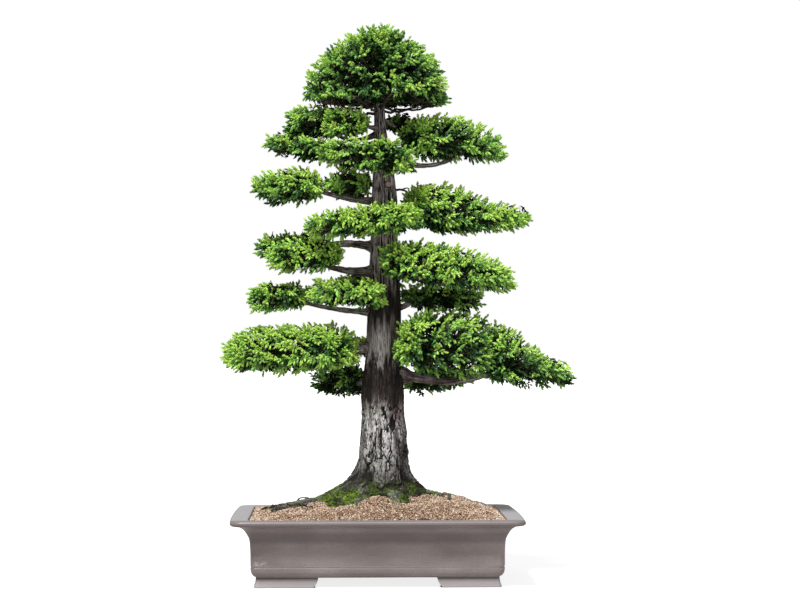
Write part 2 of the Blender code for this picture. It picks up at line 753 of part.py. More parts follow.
def core_of(pad):
    """The dense inside of the pad, which the sprays stand out of."""
    _, length, _ = pad_axes(pad)
    around, levels = (10, 6) if length > 0.19 else (8, 5)
    directions, faces = sphere_grid(around, levels)
    points = [on_pad(pad, direction, inset=CORE_INSET, under=UNDER_INSET) for direction in directions]
    core = object_from(pad.name, points, faces)
    bm = bmesh.new()
    bm.from_mesh(core.data)
    bmesh.ops.recalc_face_normals(bm, faces=bm.faces)
    bm.to_mesh(core.data)
    bm.free()
    return core


def outward(pad, point):
    step = 0.002
    slope = [
        reach(pad, point + np.eye(3)[axis] * step) - reach(pad, point - np.eye(3)[axis] * step)
        for axis in range(3)
    ]
    return unit(slope)


def spray_points(root, tip, face_up, size):
    """A toothed blade of three shoots, flat below and ridged above: its outline and its top."""
    length = np.linalg.norm(tip - root)
    forward = (tip - root) / length
    face_up = unit(face_up - forward * forward.dot(face_up))
    across = np.cross(face_up, forward)
    width = SPRAY_WIDTH * size
    outline = ((0.0, 0.0), (0.68, -0.50), (0.60, -0.16), (1.0, 0.0), (0.60, 0.16), (0.68, 0.50))
    points = [root + forward * length * ahead + across * width * aside for ahead, aside in outline]
    points.append(root + forward * length * 0.46 + face_up * SPRAY_THICKNESS)
    return points


def blade_samples(points):
    """Places on a blade to test: the outline without its root, and the middles of its sides."""
    outline = points[:-1]
    return outline[1:] + [outline[0] * 0.3 + far * 0.7 for far in outline[1:]]


def spray_object(points):
    top = len(points) - 1
    faces = [(i, (i + 1) % top, top) for i in range(top)]
    faces += [(0, 2, 1), (0, 3, 2), (0, 4, 3), (0, 5, 4)]
    return object_from("spray", points, faces)


LIMB_POINTS = []


def note_limbs():
    """Middle points and radii of every bough, for keeping leaves off them."""
    for bough in BOUGHS:
        points, enters = bough_curve(bough)
        radii = bough_radii(bough, points, enters)
        for index in range(0, enters + 1, 2):
            LIMB_POINTS.append((*points[index], radii[index]))


def touches_limb(point):
    if point[2] < TRUNK_TIP + 0.01:
        middle = trunk_middle(point[2])
        away = math.hypot(point[0] - middle[0], point[1] - middle[1])
        if away < trunk_radius(point[2]) * (1 + FLUTE_DEPTH) + LIMB_CLEARANCE:
            return True
    limbs = np.array(LIMB_POINTS)
    away = np.linalg.norm(limbs[:, :3] - point, axis=1) - limbs[:, 3]
    return bool(away.min() < LIMB_CLEARANCE)


def near_pads(pad):
    """Other pads whose boxes come near this one."""
    found = []
    for other in PADS:
        if other is pad:
            continue
        gap = np.abs(spine(pad, 0.5) - spine(other, 0.5))
        spread = 0.5 * np.abs(np.array(pad.tip) - pad.inner) + 0.5 * np.abs(np.array(other.tip) - other.inner)
        spread = spread + pad.half_width + other.half_width
        if (gap < spread + 0.02).all():
            found.append(other)
    return found


def keeps_its_place(pad, points, neighbours):
    for point in points:
        own = reach(pad, point)
        if own > 1.10 or touches_limb(point):
            return False
        if any(reach(other, point) < own + BORDER or reach(other, point) < 0.9 for other in neighbours):
            return False
    return True


def chosen_directions(pad, rng, count):
    """Evenly spread directions, more of them on top and at the tip than underneath."""
    tries = rng.normal(size=(700, 3))
    tries /= np.linalg.norm(tries, axis=1)[:, None]
    keep = (tries[:, 2] > -0.35) | (rng.random(len(tries)) < 0.45)
    tries = tries[keep]
    places = np.array([on_pad(pad, direction) for direction in tries])
    picked = [int(np.argmax(places @ (np.array(pad.tip) - pad.inner)))]
    nearest = np.linalg.norm(places - places[picked[0]], axis=1)
    while len(picked) < count:
        farthest = int(np.argmax(nearest))
        picked.append(farthest)
        nearest = np.minimum(nearest, np.linalg.norm(places - places[farthest], axis=1))
    return tries[picked], places[picked]


def grown_spray(pad, place, normal, flow, neighbours, rng):
    """A spray whose tip is at this place of the skin and whose root is in the core, or None."""
    for attempt in range(SPRAY_ATTEMPTS):
        lean = normal * (LEAN_OUT + 0.1 * attempt) + flow * LEAN_ALONG + np.array([0, 0, LEAN_UP])
        lean = unit(lean + rng.normal(scale=LEAN_SPREAD, size=3))
        size = rng.uniform(0.88, 1.15) * (1 - 0.06 * attempt)
        root = place - lean * SPRAY_LENGTH * size
        roll = rng.uniform(-ROLL_SPREAD, ROLL_SPREAD)
        face_up = np.cross(lean, np.cross(normal + (0, 0, 0.6), lean)) + roll * np.cross(lean, (0, 0, 1))
        if reach(pad, root, CORE_INSET, UNDER_INSET) > ROOTED:
            continue
        points = spray_points(root, place, face_up, size)
        if keeps_its_place(pad, blade_samples(points), neighbours):
            return points
    return None


def twig_to(pad, direction, points):
    """A twig from the pad's rib, inside the core, to the middle of a spray."""
    base = spine(pad, min(0.9, max(0.15, pad.peak + direction[0] * 0.3)))
    base[2] -= pad.drop * 0.2
    end = points[0] * 0.45 + points[3] * 0.55
    return tube("twig", [base, end], [TWIG_RADIUS, TWIG_TIP], 3)


def make_mass(pad, parent):
    rng = np.random.default_rng([SEED, PADS.index(pad)])
    neighbours = near_pads(pad)
    along, length, _ = pad_axes(pad)
    pieces = [core_of(pad)]
    for bough in BOUGHS:
        if bough.pad == pad.name:
            pieces.append(stem_tube(bough))
    made = 0
    directions, places = chosen_directions(pad, rng, pad.sprays * 2)
    for order, (direction, place) in enumerate(zip(directions, places)):
        if made == pad.sprays:
            break
        flow = along / length * np.sign(direction[0] + 0.4)
        points = grown_spray(pad, place, outward(pad, place), flow, neighbours, rng)
        if points is None:
            continue
        pieces.append(spray_object(points))
        made += 1
        if order % TWIG_EVERY == 0 and direction[2] < 0.35:
            pieces.append(twig_to(pad, direction, points))
    cutters = [trunk_solid("cutter", GAP * 1.2)]
    closed = fuse(pad.name, pieces, cutters)
    mass = finished(pieces[0], parent, FOLIAGE)
    print(pad.name, "sprays", made, "faces", len(mass.data.polygons), "closed", closed)
    return mass


def main():
    clear_scene()
    parent = bpy.data.objects.new("plant", None)
    bpy.context.scene.collection.objects.link(parent)
    parent.location = (-PLAN_CENTRE[0], -PLAN_CENTRE[1], 0.0)
    make_pot(parent)
    finished(trunk_solid("trunk"), parent, BARK, 60)
    make_soil(parent)
    note_limbs()
    for bough in BOUGHS:
        if bough.pad not in FROM_TRUNK:
            make_bough(bough, parent)
    for pad in PADS:
        make_mass(pad, parent)


main()
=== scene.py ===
"""Looks of the cryptomeria bonsai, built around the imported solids.

Metres, +Z up. Sizes are given from the middle of the pot, as in the solids' own source, and
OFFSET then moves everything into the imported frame. Every mass of foliage is grown again here:
limbs, twigs and sprays of needle shoots that reach the same rounded skin.
"""

import itertools
import math
from collections import namedtuple

import bpy
import numpy as np
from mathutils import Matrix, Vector


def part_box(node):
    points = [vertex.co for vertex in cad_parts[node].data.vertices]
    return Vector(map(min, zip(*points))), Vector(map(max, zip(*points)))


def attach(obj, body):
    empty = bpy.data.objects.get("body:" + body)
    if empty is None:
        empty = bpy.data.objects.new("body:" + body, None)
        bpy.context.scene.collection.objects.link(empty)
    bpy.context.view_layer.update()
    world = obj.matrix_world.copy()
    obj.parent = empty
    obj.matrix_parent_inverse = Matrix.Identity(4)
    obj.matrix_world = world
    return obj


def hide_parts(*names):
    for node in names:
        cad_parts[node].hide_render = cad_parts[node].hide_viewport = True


SEED = 7

# --- The same named values as the solids ---

LIP_HALF_LENGTH = 0.300
LIP_HALF_DEPTH = 0.210
LIP_TOP = 0.139
LIP_CORNER = 0.026
LIP_BOW = 0.0055  # how far the lip's short sides swell
UNDERSIDE = 0.020
FLOOR_TOP = 0.032
# rows of inset from the lip, height
POT_OUTSIDE = (
    (0.0545, UNDERSIDE), (0.0510, 0.0210), (0.0455, 0.0245), (0.0420, 0.0300), (0.0405, 0.0360),
    (0.0402, 0.0402), (0.0413, 0.0420), (0.0402, 0.0438), (0.0398, 0.0700), (0.0380, 0.0960),
    (0.0355, 0.1040), (0.0310, 0.1120), (0.0262, 0.1190), (0.0180, 0.1250), (0.0030, 0.1280),
    (0.0000, 0.1320), (0.0005, 0.1360), (0.0035, LIP_TOP),
)
POT_INSIDE = (
    (0.0330, LIP_TOP), (0.0352, 0.1372), (0.0390, 0.1190), (0.0505, 0.0960), (0.0530, 0.0450),
    (0.0600, FLOOR_TOP),
)
FOOT_INSET = 0.0505
FOOT_LENGTH = 0.1185
FOOT_DEPTH = 0.0780
FOOT_WALL = 0.0240
FOOT_CORNER = 0.007
FOOT_FLARE = 0.0045
FOOT_LEVELS = (  # share of the flare, inset, height
    (0.95, 0.0012, 0.0), (1.0, 0.0, 0.0012), (0.8, 0.0, 0.004),
    (0.35, 0.0, 0.009), (0.05, 0.0, 0.016), (0.0, 0.0, 0.024),
)
SOIL_HALF_X = LIP_HALF_LENGTH - POT_INSIDE[1][0]
SOIL_HALF_Y = LIP_HALF_DEPTH - POT_INSIDE[1][0]
SOIL_EDGE = 0.1365
MOUND_RISE = 0.0410
MOUND_PEAK = (0.085, 0.010)
MOUND_POWER = 2.3
HUMMOCKS = ((0.0017, 74, 31, 0.4), (0.0014, -38, 86, 2.1))
GROUND_CUT = 0.150
TRUNK_TIP = 1.128
# rows of height, middle x, radius
TRUNK = np.array((
    (0.150, 0.008, 0.0860), (0.165, 0.008, 0.0790), (0.180, 0.008, 0.0725), (0.195, 0.009, 0.0660),
    (0.210, 0.011, 0.0600), (0.228, 0.012, 0.0550), (0.255, 0.015, 0.0510), (0.304, 0.015, 0.0488),
    (0.345, 0.014, 0.0455), (0.385, 0.013, 0.0460), (0.485, 0.016, 0.0362), (0.566, 0.016, 0.0330),
    (0.723, 0.016, 0.0275), (0.800, 0.017, 0.0262), (0.860, 0.015, 0.0215), (0.910, 0.012, 0.0165),
    (0.953, 0.008, 0.0122), (1.002, 0.006, 0.0103), (1.070, 0.004, 0.0075),
    (TRUNK_TIP, 0.003, 0.0030),
))
FLARE_TOP = 0.262
FLARE_POWER = 2.6
FLUTE_DEPTH = 0.045
RIDGES = 8
RIDGE_HEIGHT = 0.035
# azimuth in degrees, how far the root stands out, its spread in degrees
ROOTS = (
    (180, 0.105, 17), (-3, 0.100, 15), (238, 0.040, 16), (296, 0.046, 17), (212, 0.050, 13),
    (48, 0.050, 17), (95, 0.040, 18), (137, 0.055, 16),
)
Runner = namedtuple("Runner", "azimuth start length turn radius tip")
RUNNERS = (
    Runner(184, 0.085, 0.175, 0.30, 0.0125, 0.0030),
    Runner(197, 0.080, 0.120, -0.50, 0.0085, 0.0025),
    Runner(-6, 0.080, 0.055, -0.60, 0.0100, 0.0055),
)
Pad = namedtuple("Pad", "name inner tip half_width rise drop peak taper tone heel", defaults=(2.4,))
# tone: 0 is all dark old needles, 1 all lime new ones; it is also set for how light falls on each pad, as
# painted light and shade
PADS = tuple(Pad(*row) for row in (
    ("apex_dome", (-0.154, 0.0, 1.024), (0.162, 0.0, 1.022), 0.138, 0.156, 0.02, 0.5, 1.3, 0.50, 1.3),
    ("high_left_rear", (-0.052, 0.08, 0.966), (-0.207, 0.06, 0.96), 0.056, 0.063, 0.028, 0.68, 2.2, 0.46),
    ("high_left_front", (-0.012, -0.04, 0.957), (-0.124, -0.05, 0.961), 0.05, 0.044, 0.032, 0.5, 2.4, 0.74),
    ("high_left_low", (-0.082, 0.02, 0.902), (-0.245, 0.02, 0.926), 0.06, 0.036, 0.029, 0.45, 1.8, 0.42),
    ("high_front", (0.094, -0.082, 0.882), (-0.132, -0.086, 0.893), 0.056, 0.046, 0.038, 0.42, 2.2, 0.68),
    ("high_right", (0.046, -0.005, 0.931), (0.284, -0.005, 0.909), 0.078, 0.064, 0.04, 0.42, 1.8, 0.60),
    ("high_right_rear", (0.028, 0.078, 0.98), (0.098, 0.15, 0.976), 0.046, 0.026, 0.024, 0.5, 2.2, 0.22),
    ("upper_left_outer", (-0.108, -0.005, 0.834), (-0.268, -0.005, 0.831), 0.078, 0.043, 0.043, 0.45, 2.4, 0.76),
    ("upper_left_inner", (-0.004, 0.024, 0.836), (-0.123, 0.03, 0.838), 0.058, 0.038, 0.034, 0.5, 2.4, 0.78),
    ("upper_front", (0.094, -0.098, 0.761), (-0.17, -0.088, 0.742), 0.068, 0.044, 0.036, 0.38, 2.0, 0.82),
    ("upper_right", (0.05, 0.008, 0.78), (0.334, 0.0, 0.757), 0.09, 0.072, 0.043, 0.34, 1.1, 0.76),
    ("mid_left_rear", (-0.095, 0.082, 0.706), (-0.265, 0.066, 0.7), 0.06, 0.044, 0.032, 0.58, 2.2, 0.55),
    ("mid_left_front", (-0.066, -0.026, 0.688), (-0.242, -0.034, 0.68), 0.062, 0.044, 0.04, 0.5, 2.0, 0.82),
    ("mid_right", (-0.002, -0.082, 0.664), (0.306, -0.045, 0.628), 0.078, 0.067, 0.036, 0.42, 1.7, 0.66),
    ("mid_right_rear", (0.046, 0.075, 0.602), (0.239, 0.06, 0.596), 0.062, 0.036, 0.038, 0.5, 2.4, 0.52),
    ("mid_left_low", (0.03, -0.07, 0.598), (-0.158, -0.05, 0.603), 0.066, 0.044, 0.031, 0.5, 2.4, 0.84),
    ("mid_left_outer", (-0.138, 0.0, 0.6), (-0.283, -0.005, 0.59), 0.058, 0.041, 0.035, 0.58, 2.2, 0.64),
    ("low_left", (-0.036, -0.025, 0.482), (-0.34, -0.03, 0.468), 0.098, 0.07, 0.043, 0.46, 2.3, 0.92),
    ("low_left_rear", (-0.016, 0.105, 0.416), (-0.14, 0.16, 0.414), 0.062, 0.047, 0.04, 0.4, 2.0, 0.30),
    ("low_right_inner", (0.034, -0.06, 0.498), (0.25, -0.05, 0.484), 0.086, 0.08, 0.055, 0.5, 2.4, 0.62),
    ("low_right_outer", (0.229, -0.03, 0.47), (0.43, -0.005, 0.423), 0.078, 0.072, 0.046, 0.2, 1.1, 0.56),
    ("low_right_rear", (0.052, 0.105, 0.416), (0.222, 0.16, 0.43), 0.062, 0.026, 0.036, 0.5, 2.0, 0.38),
    ("back_high", (0.01, 0.062, 0.905), (0.012, 0.19, 0.9), 0.07, 0.03, 0.028, 0.55, 2.2, 0.62),
    ("back_upper", (-0.004, 0.07, 0.766), (-0.004, 0.24, 0.76), 0.08, 0.032, 0.03, 0.55, 2.2, 0.66),
    ("back_mid", (-0.006, 0.072, 0.632), (-0.034, 0.268, 0.622), 0.082, 0.032, 0.022, 0.55, 2.2, 0.66),
    ("back_low", (0.018, 0.07, 0.492), (0.026, 0.29, 0.486), 0.094, 0.034, 0.026, 0.55, 2.2, 0.66),
))
PAD_POWER = 2.6
LUMPS = 9
LUMP_HEIGHT = 0.10
LUMP_SEED = 20
Bough = namedtuple("Bough", "pad height radius tip entry bow")
BOUGHS = tuple(Bough(*row) for row in (
    ("high_left_rear", 0.950, 0.0062, 0.0038, 0.35, -0.022),
    ("high_left_front", 0.956, 0.0055, 0.0040, 0.25, 0.000),
    ("high_left_low", 0.915, 0.0066, 0.0040, 0.35, -0.012),
    ("high_front", 0.884, 0.0070, 0.0048, 0.40, 0.004),
    ("high_right", 0.906, 0.0080, 0.0042, 0.66, -0.034),
    ("high_right_rear", 0.985, 0.0055, 0.0036, 0.45, -0.012),
    ("upper_left_outer", 0.802, 0.0080, 0.0050, 0.25, -0.010),
    ("upper_left_inner", 0.836, 0.0060, 0.0042, 0.35, 0.000),
    ("upper_front", 0.748, 0.0095, 0.0062, 0.42, 0.002),
    ("upper_right", 0.768, 0.0100, 0.0070, 0.30, -0.006),
    ("mid_left_rear", 0.700, 0.0078, 0.0050, 0.30, 0.010),
    ("mid_left_front", 0.654, 0.0090, 0.0046, 0.55, -0.014),
    ("mid_right", 0.640, 0.0100, 0.0068, 0.35, -0.004),
    ("mid_right_rear", 0.566, 0.0085, 0.0058, 0.30, -0.004),
    ("mid_left_low", 0.592, 0.0085, 0.0060, 0.40, -0.004),
    ("mid_left_outer", 0.566, 0.0078, 0.0042, 0.35, -0.010),
    ("low_left", 0.500, 0.0130, 0.0090, 0.25, -0.004),
    ("low_left_rear", 0.398, 0.0090, 0.0058, 0.35, 0.004),
    ("low_right_inner", 0.490, 0.0130, 0.0095, 0.30, 0.000),
    ("low_right_outer", 0.450, 0.0165, 0.0070, 0.30, -0.034),
    ("low_right_rear", 0.412, 0.0095, 0.0058, 0.35, 0.002),
    ("back_high", 0.905, 0.0066, 0.0044, 0.35, -0.004),
    ("back_upper", 0.762, 0.0085, 0.0056, 0.35, -0.004),
    ("back_mid", 0.612, 0.0095, 0.0060, 0.35, -0.004),
    ("back_low", 0.478, 0.0120, 0.0072, 0.35, -0.004),
))
FROM_TRUNK = ("mid_right", "mid_left_low", "low_right_inner")
BOUGH_WAVE = 0.0035

# --- Pot, soil and bark of the scene ---

LIP_FRONT = (-0.222, -0.210)  # between these the lip's top turns pale with a painted highlight, behind its front side
LIME_MARK = (("X", -0.288, 0.017), ("Z", 0.0505, 0.0065))  # scratches at lower left: middle, half
CHIPPED_CORNER = (-0.235, 0.046)  # x, z
GRAIN_PITCH = 0.0027
GRAIN_SIZE = 0.00098
LARGEST_GRAIN = 0.0027
SOIL_LAP = (0.0115, 0.002, -0.088)  # soil heaped against the trunk's front: height, x, y
GRAINS = (  # name, share, darkest and lightest colour
    ("grains_tan", 0.42, (0.400, 0.265, 0.180), (0.560, 0.400, 0.290)),
    ("grains_ochre", 0.27, (0.520, 0.385, 0.275), (0.680, 0.540, 0.410)),
    ("grains_rust", 0.16, (0.250, 0.152, 0.100), (0.380, 0.250, 0.170)),
    ("grains_pale", 0.05, (0.560, 0.490, 0.420), (0.720, 0.660, 0.590)),
    ("grains_dark", 0.10, (0.040, 0.028, 0.022), (0.100, 0.068, 0.052)),
)
AROUND = 270  # points round the trunk
BARK_LIFT = 0.0010  # how far the bark lies outside the solid
TRUNK_LIGHT = -0.043  # where across the trunk the painted highlight on its bark is centred
MOSS_TOP = 0.235
MOSS_TUFTS = 26000
MOSSES = (("moss_dark", (0.024, 0.045, 0.006)), ("moss_bright", (0.150, 0.230, 0.020)))
STRANDS = 26  # thin roots that curl over the soil
UPRIGHT_ENDS = (  # x, y, height, radius
    (0.152, -0.045, 0.014, 0.0038), (0.137, -0.030, 0.008, 0.0050), (-0.098, -0.040, 0.020, 0.0036),
)
SCAR_HEIGHT = 0.835
DRY_TWIG = (
    (0.036, -0.002, 0.824), (0.050, -0.004, 0.826), (0.062, -0.006, 0.823), (0.072, -0.008, 0.816),
)
DRY_FORK = ((0.055, -0.004, 0.826), (0.064, -0.010, 0.829), (0.070, -0.012, 0.827))
BOUGH_GIRTH = {"low_right_outer": 0.76, "mid_left_rear": 1.25, "mid_left_front": 1.20}
OTHER_GIRTH = 0.92
BOUGH_TONE = {"low_right_outer": 0.50, "high_right": 1.00}
OTHER_TONE = 0.66

# --- Foliage of the scene ---

SPRAY_AREA = 2.45e-4  # skin area that one spray covers
SPRAY_LENGTH = 0.040
SHOOT_LENGTH = 0.0128
NEEDLES = 5
NEEDLE_WIDTH = 0.104  # half of it, as a share of the shoot
CLUMP_SPACING = 0.034
CLUMP_DEPTH = 0.009
CLUMP_TONE = 0.23
CLUMP_LEAN = 0.24
TOP_TONE = 0.30  # painted light: how much lighter a spray is that faces up
FRINGE_TONE = -0.32  # painted shade: how much darker one is at its clump's rim
# inner sprays sink into the pad and take painted shade
INNER_SHARE = 0.25
INNER_TONE = -0.6
TIP_TONE = 0.62  # how much a spray's tone rises from root to tip
LONGEST_TWIG = 0.075
CORE_DEPTH = 0.0095  # how far the old shoots stay within the skin; they take the darkest green, as painted shade
CORE_SHOOTS = 4400  # to a square metre of skin
DOME_CORE = 1.5  # the same for the dome, as a multiple
DOME_RIBS = 9
DOME_INNER_RIBS = 13
Trim = namedtuple("Trim", "pad along up width depth")
TRIMS = (  # where sprays end further in than the pad's skin, or a little beyond it
    Trim("apex_dome", 0.66, 0.75, 0.34, 0.017),
    Trim("apex_dome", -0.66, 0.75, 0.34, 0.012),
    Trim("upper_right", 0.80, 0.60, 0.45, 0.014),
    Trim("low_right_outer", 0.80, 0.60, 0.36, 0.022),
    Trim("low_right_outer", -0.22, 0.97, 0.42, -0.014),
    Trim("low_right_outer", 0.55, -0.83, 0.50, -0.009),
    Trim("low_right_outer", -0.75, 0.66, 0.40, -0.014),
    Trim("low_right_outer", 0.36, 0.93, 0.26, -0.010),
    Trim("low_right_outer", -0.70, -0.70, 0.50, -0.018),
    Trim("low_right_inner", 0.62, -0.78, 0.50, -0.020),
    Trim("low_right_inner", 0.60, 0.80, 0.45, -0.009),
    Trim("low_right_inner", -0.45, -0.89, 0.55, -0.013),
    Trim("high_right", 0.05, 1.0, 0.50, -0.006),
    Trim("mid_right", 0.10, 1.0, 0.45, -0.006),
    Trim("high_left_rear", 0.50, 0.86, 0.45, 0.012),
    Trim("upper_left_inner", -0.30, 0.95, 0.60, -0.006),
)
SPRAY_PLAN = (  # where on the spray each shoot starts, its angle aside, its length
    (1.00, 0, 1.00), (0.86, 40, 0.84), (0.78, -42, 0.88),
    (0.64, 48, 0.90), (0.55, -50, 0.86), (0.40, 54, 0.82),
)
MOST_TRIANGLES = 190000
# name and base colour (linear) of each kind of shoot, from the oldest to the newest and the darkest to the
# lightest; the tones that choose them also hold painted light and shade
GREENS = (
    ("needles_deep", (0.0080, 0.022, 0.0040)),
    ("needles_dark", (0.026, 0.062, 0.015)),
    ("needles_cool", (0.038, 0.108, 0.040)),
    ("needles_mid", (0.092, 0.214, 0.052)),
    ("needles_fresh", (0.192, 0.388, 0.076)),
    ("needles_lime", (0.335, 0.595, 0.100)),
    ("needles_gold", (0.440, 0.660, 0.115)),
)
TONE_STEPS = (-0.16, 0.06, 0.20, 0.36, 0.56, 0.86)  # from each kind to the next
PLAIN_KINDS = 2  # how many of the oldest, darkest kinds have simpler shoots
DULL_KINDS = 3  # and duller ones

# --- Camera and light ---

CAMERA_PLACE = (-0.087, -4.18, 0.506)
CAMERA_LENS = 88.4
CAMERA_YAW = 1.88
CAMERA_PITCH = 1.00
FLOOR_HALF = 40.0
FLOOR_GLOW = 0.82
SURROUND_LIGHT = 0.36
KEY_POWER = 4.9
KEY_DIRECTION = (0.32, 0.48, -1.0)
FILL_PLACE = (2.2, -2.8, 1.0)
FILL_TARGET = (0.0, 0.0, 0.55)
FILL_SIZE = 1.8
FILL_POWER = 16

# --- Small tools ---

UP = np.array((0.0, 0.0, 1.0))


def unit(vectors):
    vectors = np.asarray(vectors, float)
    return vectors / np.maximum(np.linalg.norm(vectors, axis=-1, keepdims=True), 1e-12)


def stacked(*parts):
    return np.stack(parts, axis=-1)


def smoothstep(low, high, values):
    share = np.clip((values - low) / (high - low), 0, 1)
    return share * share * (3 - 2 * share)


def crease(low, high, values):
    """1 where the values pass 0, and 0 well away from there."""
    return 1 - smoothstep(low, high, np.abs(values))


def circle(count):
    turns = 2 * math.pi * np.arange(count) / count
    return stacked(np.cos(turns), np.sin(turns))


def heading_of(angle, rise=0.0):
    return np.array([math.cos(angle), math.sin(angle), rise])


def hashed(cells, salt=0):
    """An even pseudo-random number from 0 to 1 for each whole-numbered cell."""
    cells = np.asarray(cells, np.int64)
    mixed = cells[..., 0] * 73856093 ^ cells[..., 1] * 19349663 ^ cells[..., 2] * 83492791
    mixed = mixed ^ salt * 26544357
    mixed = ((mixed ^ (mixed >> 13)) * 1274126177) & 0xFFFFFFFF
    mixed = ((mixed ^ (mixed >> 16)) * 2246822519) & 0xFFFFFFFF
    return (mixed ^ (mixed >> 15)) / 0xFFFFFFFF


def noise(points, scale, salt=0):
    """Smooth noise from -1 to 1; scale is the size of its bumps."""
    places = np.asarray(points, float) / scale
    base = np.floor(places).astype(np.int64)
    part = places - base
    part = part * part * (3 - 2 * part)
    total = 0.0
    for corner in itertools.product((0, 1), repeat=3):
        weight = np.prod(np.where(np.array(corner), part, 1 - part), axis=-1)
        total = total + weight * hashed(base + np.array(corner), salt)
    return 2 * total - 1


class Heap:
    """Triangles gathered for one piece."""

    def __init__(self):
        self.points = []
        self.faces = []
        self.count = 0

    def add(self, points, faces):
        """points is (points, 3), or (copies, points of one, 3); faces are those of one."""
        points = np.asarray(points, np.float32)
        each = points.shape[-2]
        copies = points.size // (3 * each)
        starts = self.count + np.arange(copies)[:, None, None] * each
        self.points.append(points.reshape(-1, 3))
        self.faces.append((starts + np.asarray(faces)[None]).reshape(-1, 3))
        self.count += copies * each

    def arrays(self):
        return np.concatenate(self.points), np.concatenate(self.faces)


def mesh_object(name, points, faces, look, smooth=False, attributes=None):
    """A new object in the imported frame; faces are an array, or a list where their sizes vary."""
    mesh = bpy.data.meshes.new(name)
    points = np.asarray(points) + OFFSET
    if isinstance(faces, list):
        mesh.from_pydata(points.tolist(), [], faces)
    else:
        faces = np.asarray(faces, np.int32)
        mesh.vertices.add(len(points))
        mesh.vertices.foreach_set("co", points.astype(np.float32).ravel())
        mesh.loops.add(faces.size)
        mesh.loops.foreach_set("vertex_index", faces.ravel())
        mesh.polygons.add(len(faces))
        starts = np.arange(0, faces.size, faces.shape[1], dtype=np.int32)
        mesh.polygons.foreach_set("loop_start", starts)
        mesh.update(calc_edges=True)
    mesh.polygons.foreach_set("use_smooth", np.full(len(faces), smooth))
    for key, values in (attributes or {}).items():
        kind, field = ("FLOAT_VECTOR", "vector") if values.ndim == 2 else ("FLOAT", "value")
        values = values.astype(np.float32).ravel()
        mesh.attributes.new(key, kind, "POINT").data.foreach_set(field, values)
    mesh.materials.append(look)
    return linked(name, mesh)


def linked(name, data):
    obj = bpy.data.objects.new(name, data)
    bpy.context.scene.collection.objects.link(obj)
    return obj


def pieces_from(name, heap, look):
    """One or more joined objects, each under the most triangles; the first is given back."""
    points, faces = heap.arrays()
    made = []
    parts = max(1, math.ceil(len(faces) / MOST_TRIANGLES))
    for order, part in enumerate(np.array_split(faces, parts)):
        used, index = np.unique(part, return_inverse=True)
        label = name if parts == 1 else f"{name}_{order + 1}"
        piece = mesh_object(label, points[used], index.reshape(-1, 3), look)
        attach(piece, "root")
        made.append(piece)
    return made[0]


def tube_points(paths, radii, sides):
    """Rings round many paths at once: paths (n, k, 3), radii (n, k) give (n, k * sides, 3)."""
    along = unit(np.gradient(paths, axis=1))
    across = np.cross(along[:, 0], (0.31, 0.17, 0.94))
    rings = []
    for level in range(paths.shape[1]):
        direction = along[:, level]
        across = unit(across - direction * (across * direction).sum(-1, keepdims=True))
        other = np.cross(direction, across)
        first, second = circle(sides).T[:, None, :, None]
        ring = first * across[:, None] + second * other[:, None]
        rings.append(paths[:, level, None] + ring * radii[:, level, None, None])
    return np.concatenate(rings, axis=1)


def tube_faces(levels, sides, capped=True):
    faces = []
    for level, side in itertools.product(range(levels - 1), range(sides)):
        after = (side + 1) % sides
        low, high = level * sides, (level + 1) * sides
        faces.append((low + side, low + after, high + after))
        faces.append((low + side, high + after, high + side))
    if capped:
        top = (levels - 1) * sides
        for side in range(1, sides - 1):
            faces += [(0, side + 1, side), (top, top + side, top + side + 1)]
    return np.array(faces)


def grid_faces(rows, columns, closed=False):
    """Four-sided faces of a grid of points, where closed joins each row's ends."""
    last = columns if closed else columns - 1
    i, j = np.meshgrid(np.arange(rows - 1), np.arange(last), indexing="ij")
    here, after = i * columns + j, i * columns + (j + 1) % columns
    return stacked(here, after, after + columns, here + columns).reshape(-1, 4)


def resampled(path, count):
    """The path at evenly spaced places."""
    path = np.asarray(path, float)
    steps = lengths_along(path)
    places = np.linspace(0, steps[-1], count)
    return stacked(*(np.interp(places, steps, path[:, axis]) for axis in range(3)))


def lengths_along(path):
    return np.concatenate([[0], np.cumsum(np.linalg.norm(np.diff(path, axis=0), axis=1))])


# --- Trunk, soil and pads, as the solids have them ---


def trunk_middle_x(height):
    return np.interp(height, TRUNK[:, 0], TRUNK[:, 1])


def trunk_middle(height):
    return np.array([trunk_middle_x(height), 0.0, height])


def trunk_radius(height):
    return np.interp(height, TRUNK[:, 0], TRUNK[:, 2])


def trunk_clear(points, margin=0.001):
    """Whether points stay off the trunk."""
    x, y, height = np.moveaxis(points, -1, 0)
    away = np.hypot(x - trunk_middle_x(height), y)
    return (away > trunk_radius(height) + margin) | (height > 0.99)


def flare(height, angle):
    share = np.maximum(0.0, (FLARE_TOP - height) / (FLARE_TOP - GROUND_CUT)) ** FLARE_POWER
    out = 0.0
    for azimuth, far, spread in ROOTS:
        away = (np.degrees(angle) - azimuth + 180) % 360 - 180
        out = out + far * share * np.exp(-0.5 * (away / spread) ** 2)
    return out


def trunk_surface(height, angle):
    flute = FLUTE_DEPTH * np.sin(5 * angle + 4 * height) * np.sin(3 * angle - 7 * height)
    ridge = RIDGE_HEIGHT * np.cos(RIDGES * angle + 3 * np.sin(11 * height))
    return trunk_radius(height) * (1 + flute + ridge) + flare(height, angle)


def bark_points(height, angle, relief):
    out = trunk_surface(height, angle) + relief + BARK_LIFT
    return stacked(trunk_middle_x(height) + out * np.cos(angle), out * np.sin(angle), height)


def soil_height(x, y):
    share = 1.0
    for value, edge, peak in ((x, SOIL_HALF_X, MOUND_PEAK[0]), (y, SOIL_HALF_Y, MOUND_PEAK[1])):
        run = edge - np.copysign(peak, value - peak)
        share = share * (1 - np.minimum(1.0, np.abs(value - peak) / run) ** MOUND_POWER)
    waves = sum(high * np.sin(in_x * x + in_y * y + phase) for high, in_x, in_y, phase in HUMMOCKS)
    return SOIL_EDGE + MOUND_RISE * share + np.minimum(1.0, 4 * share) * waves


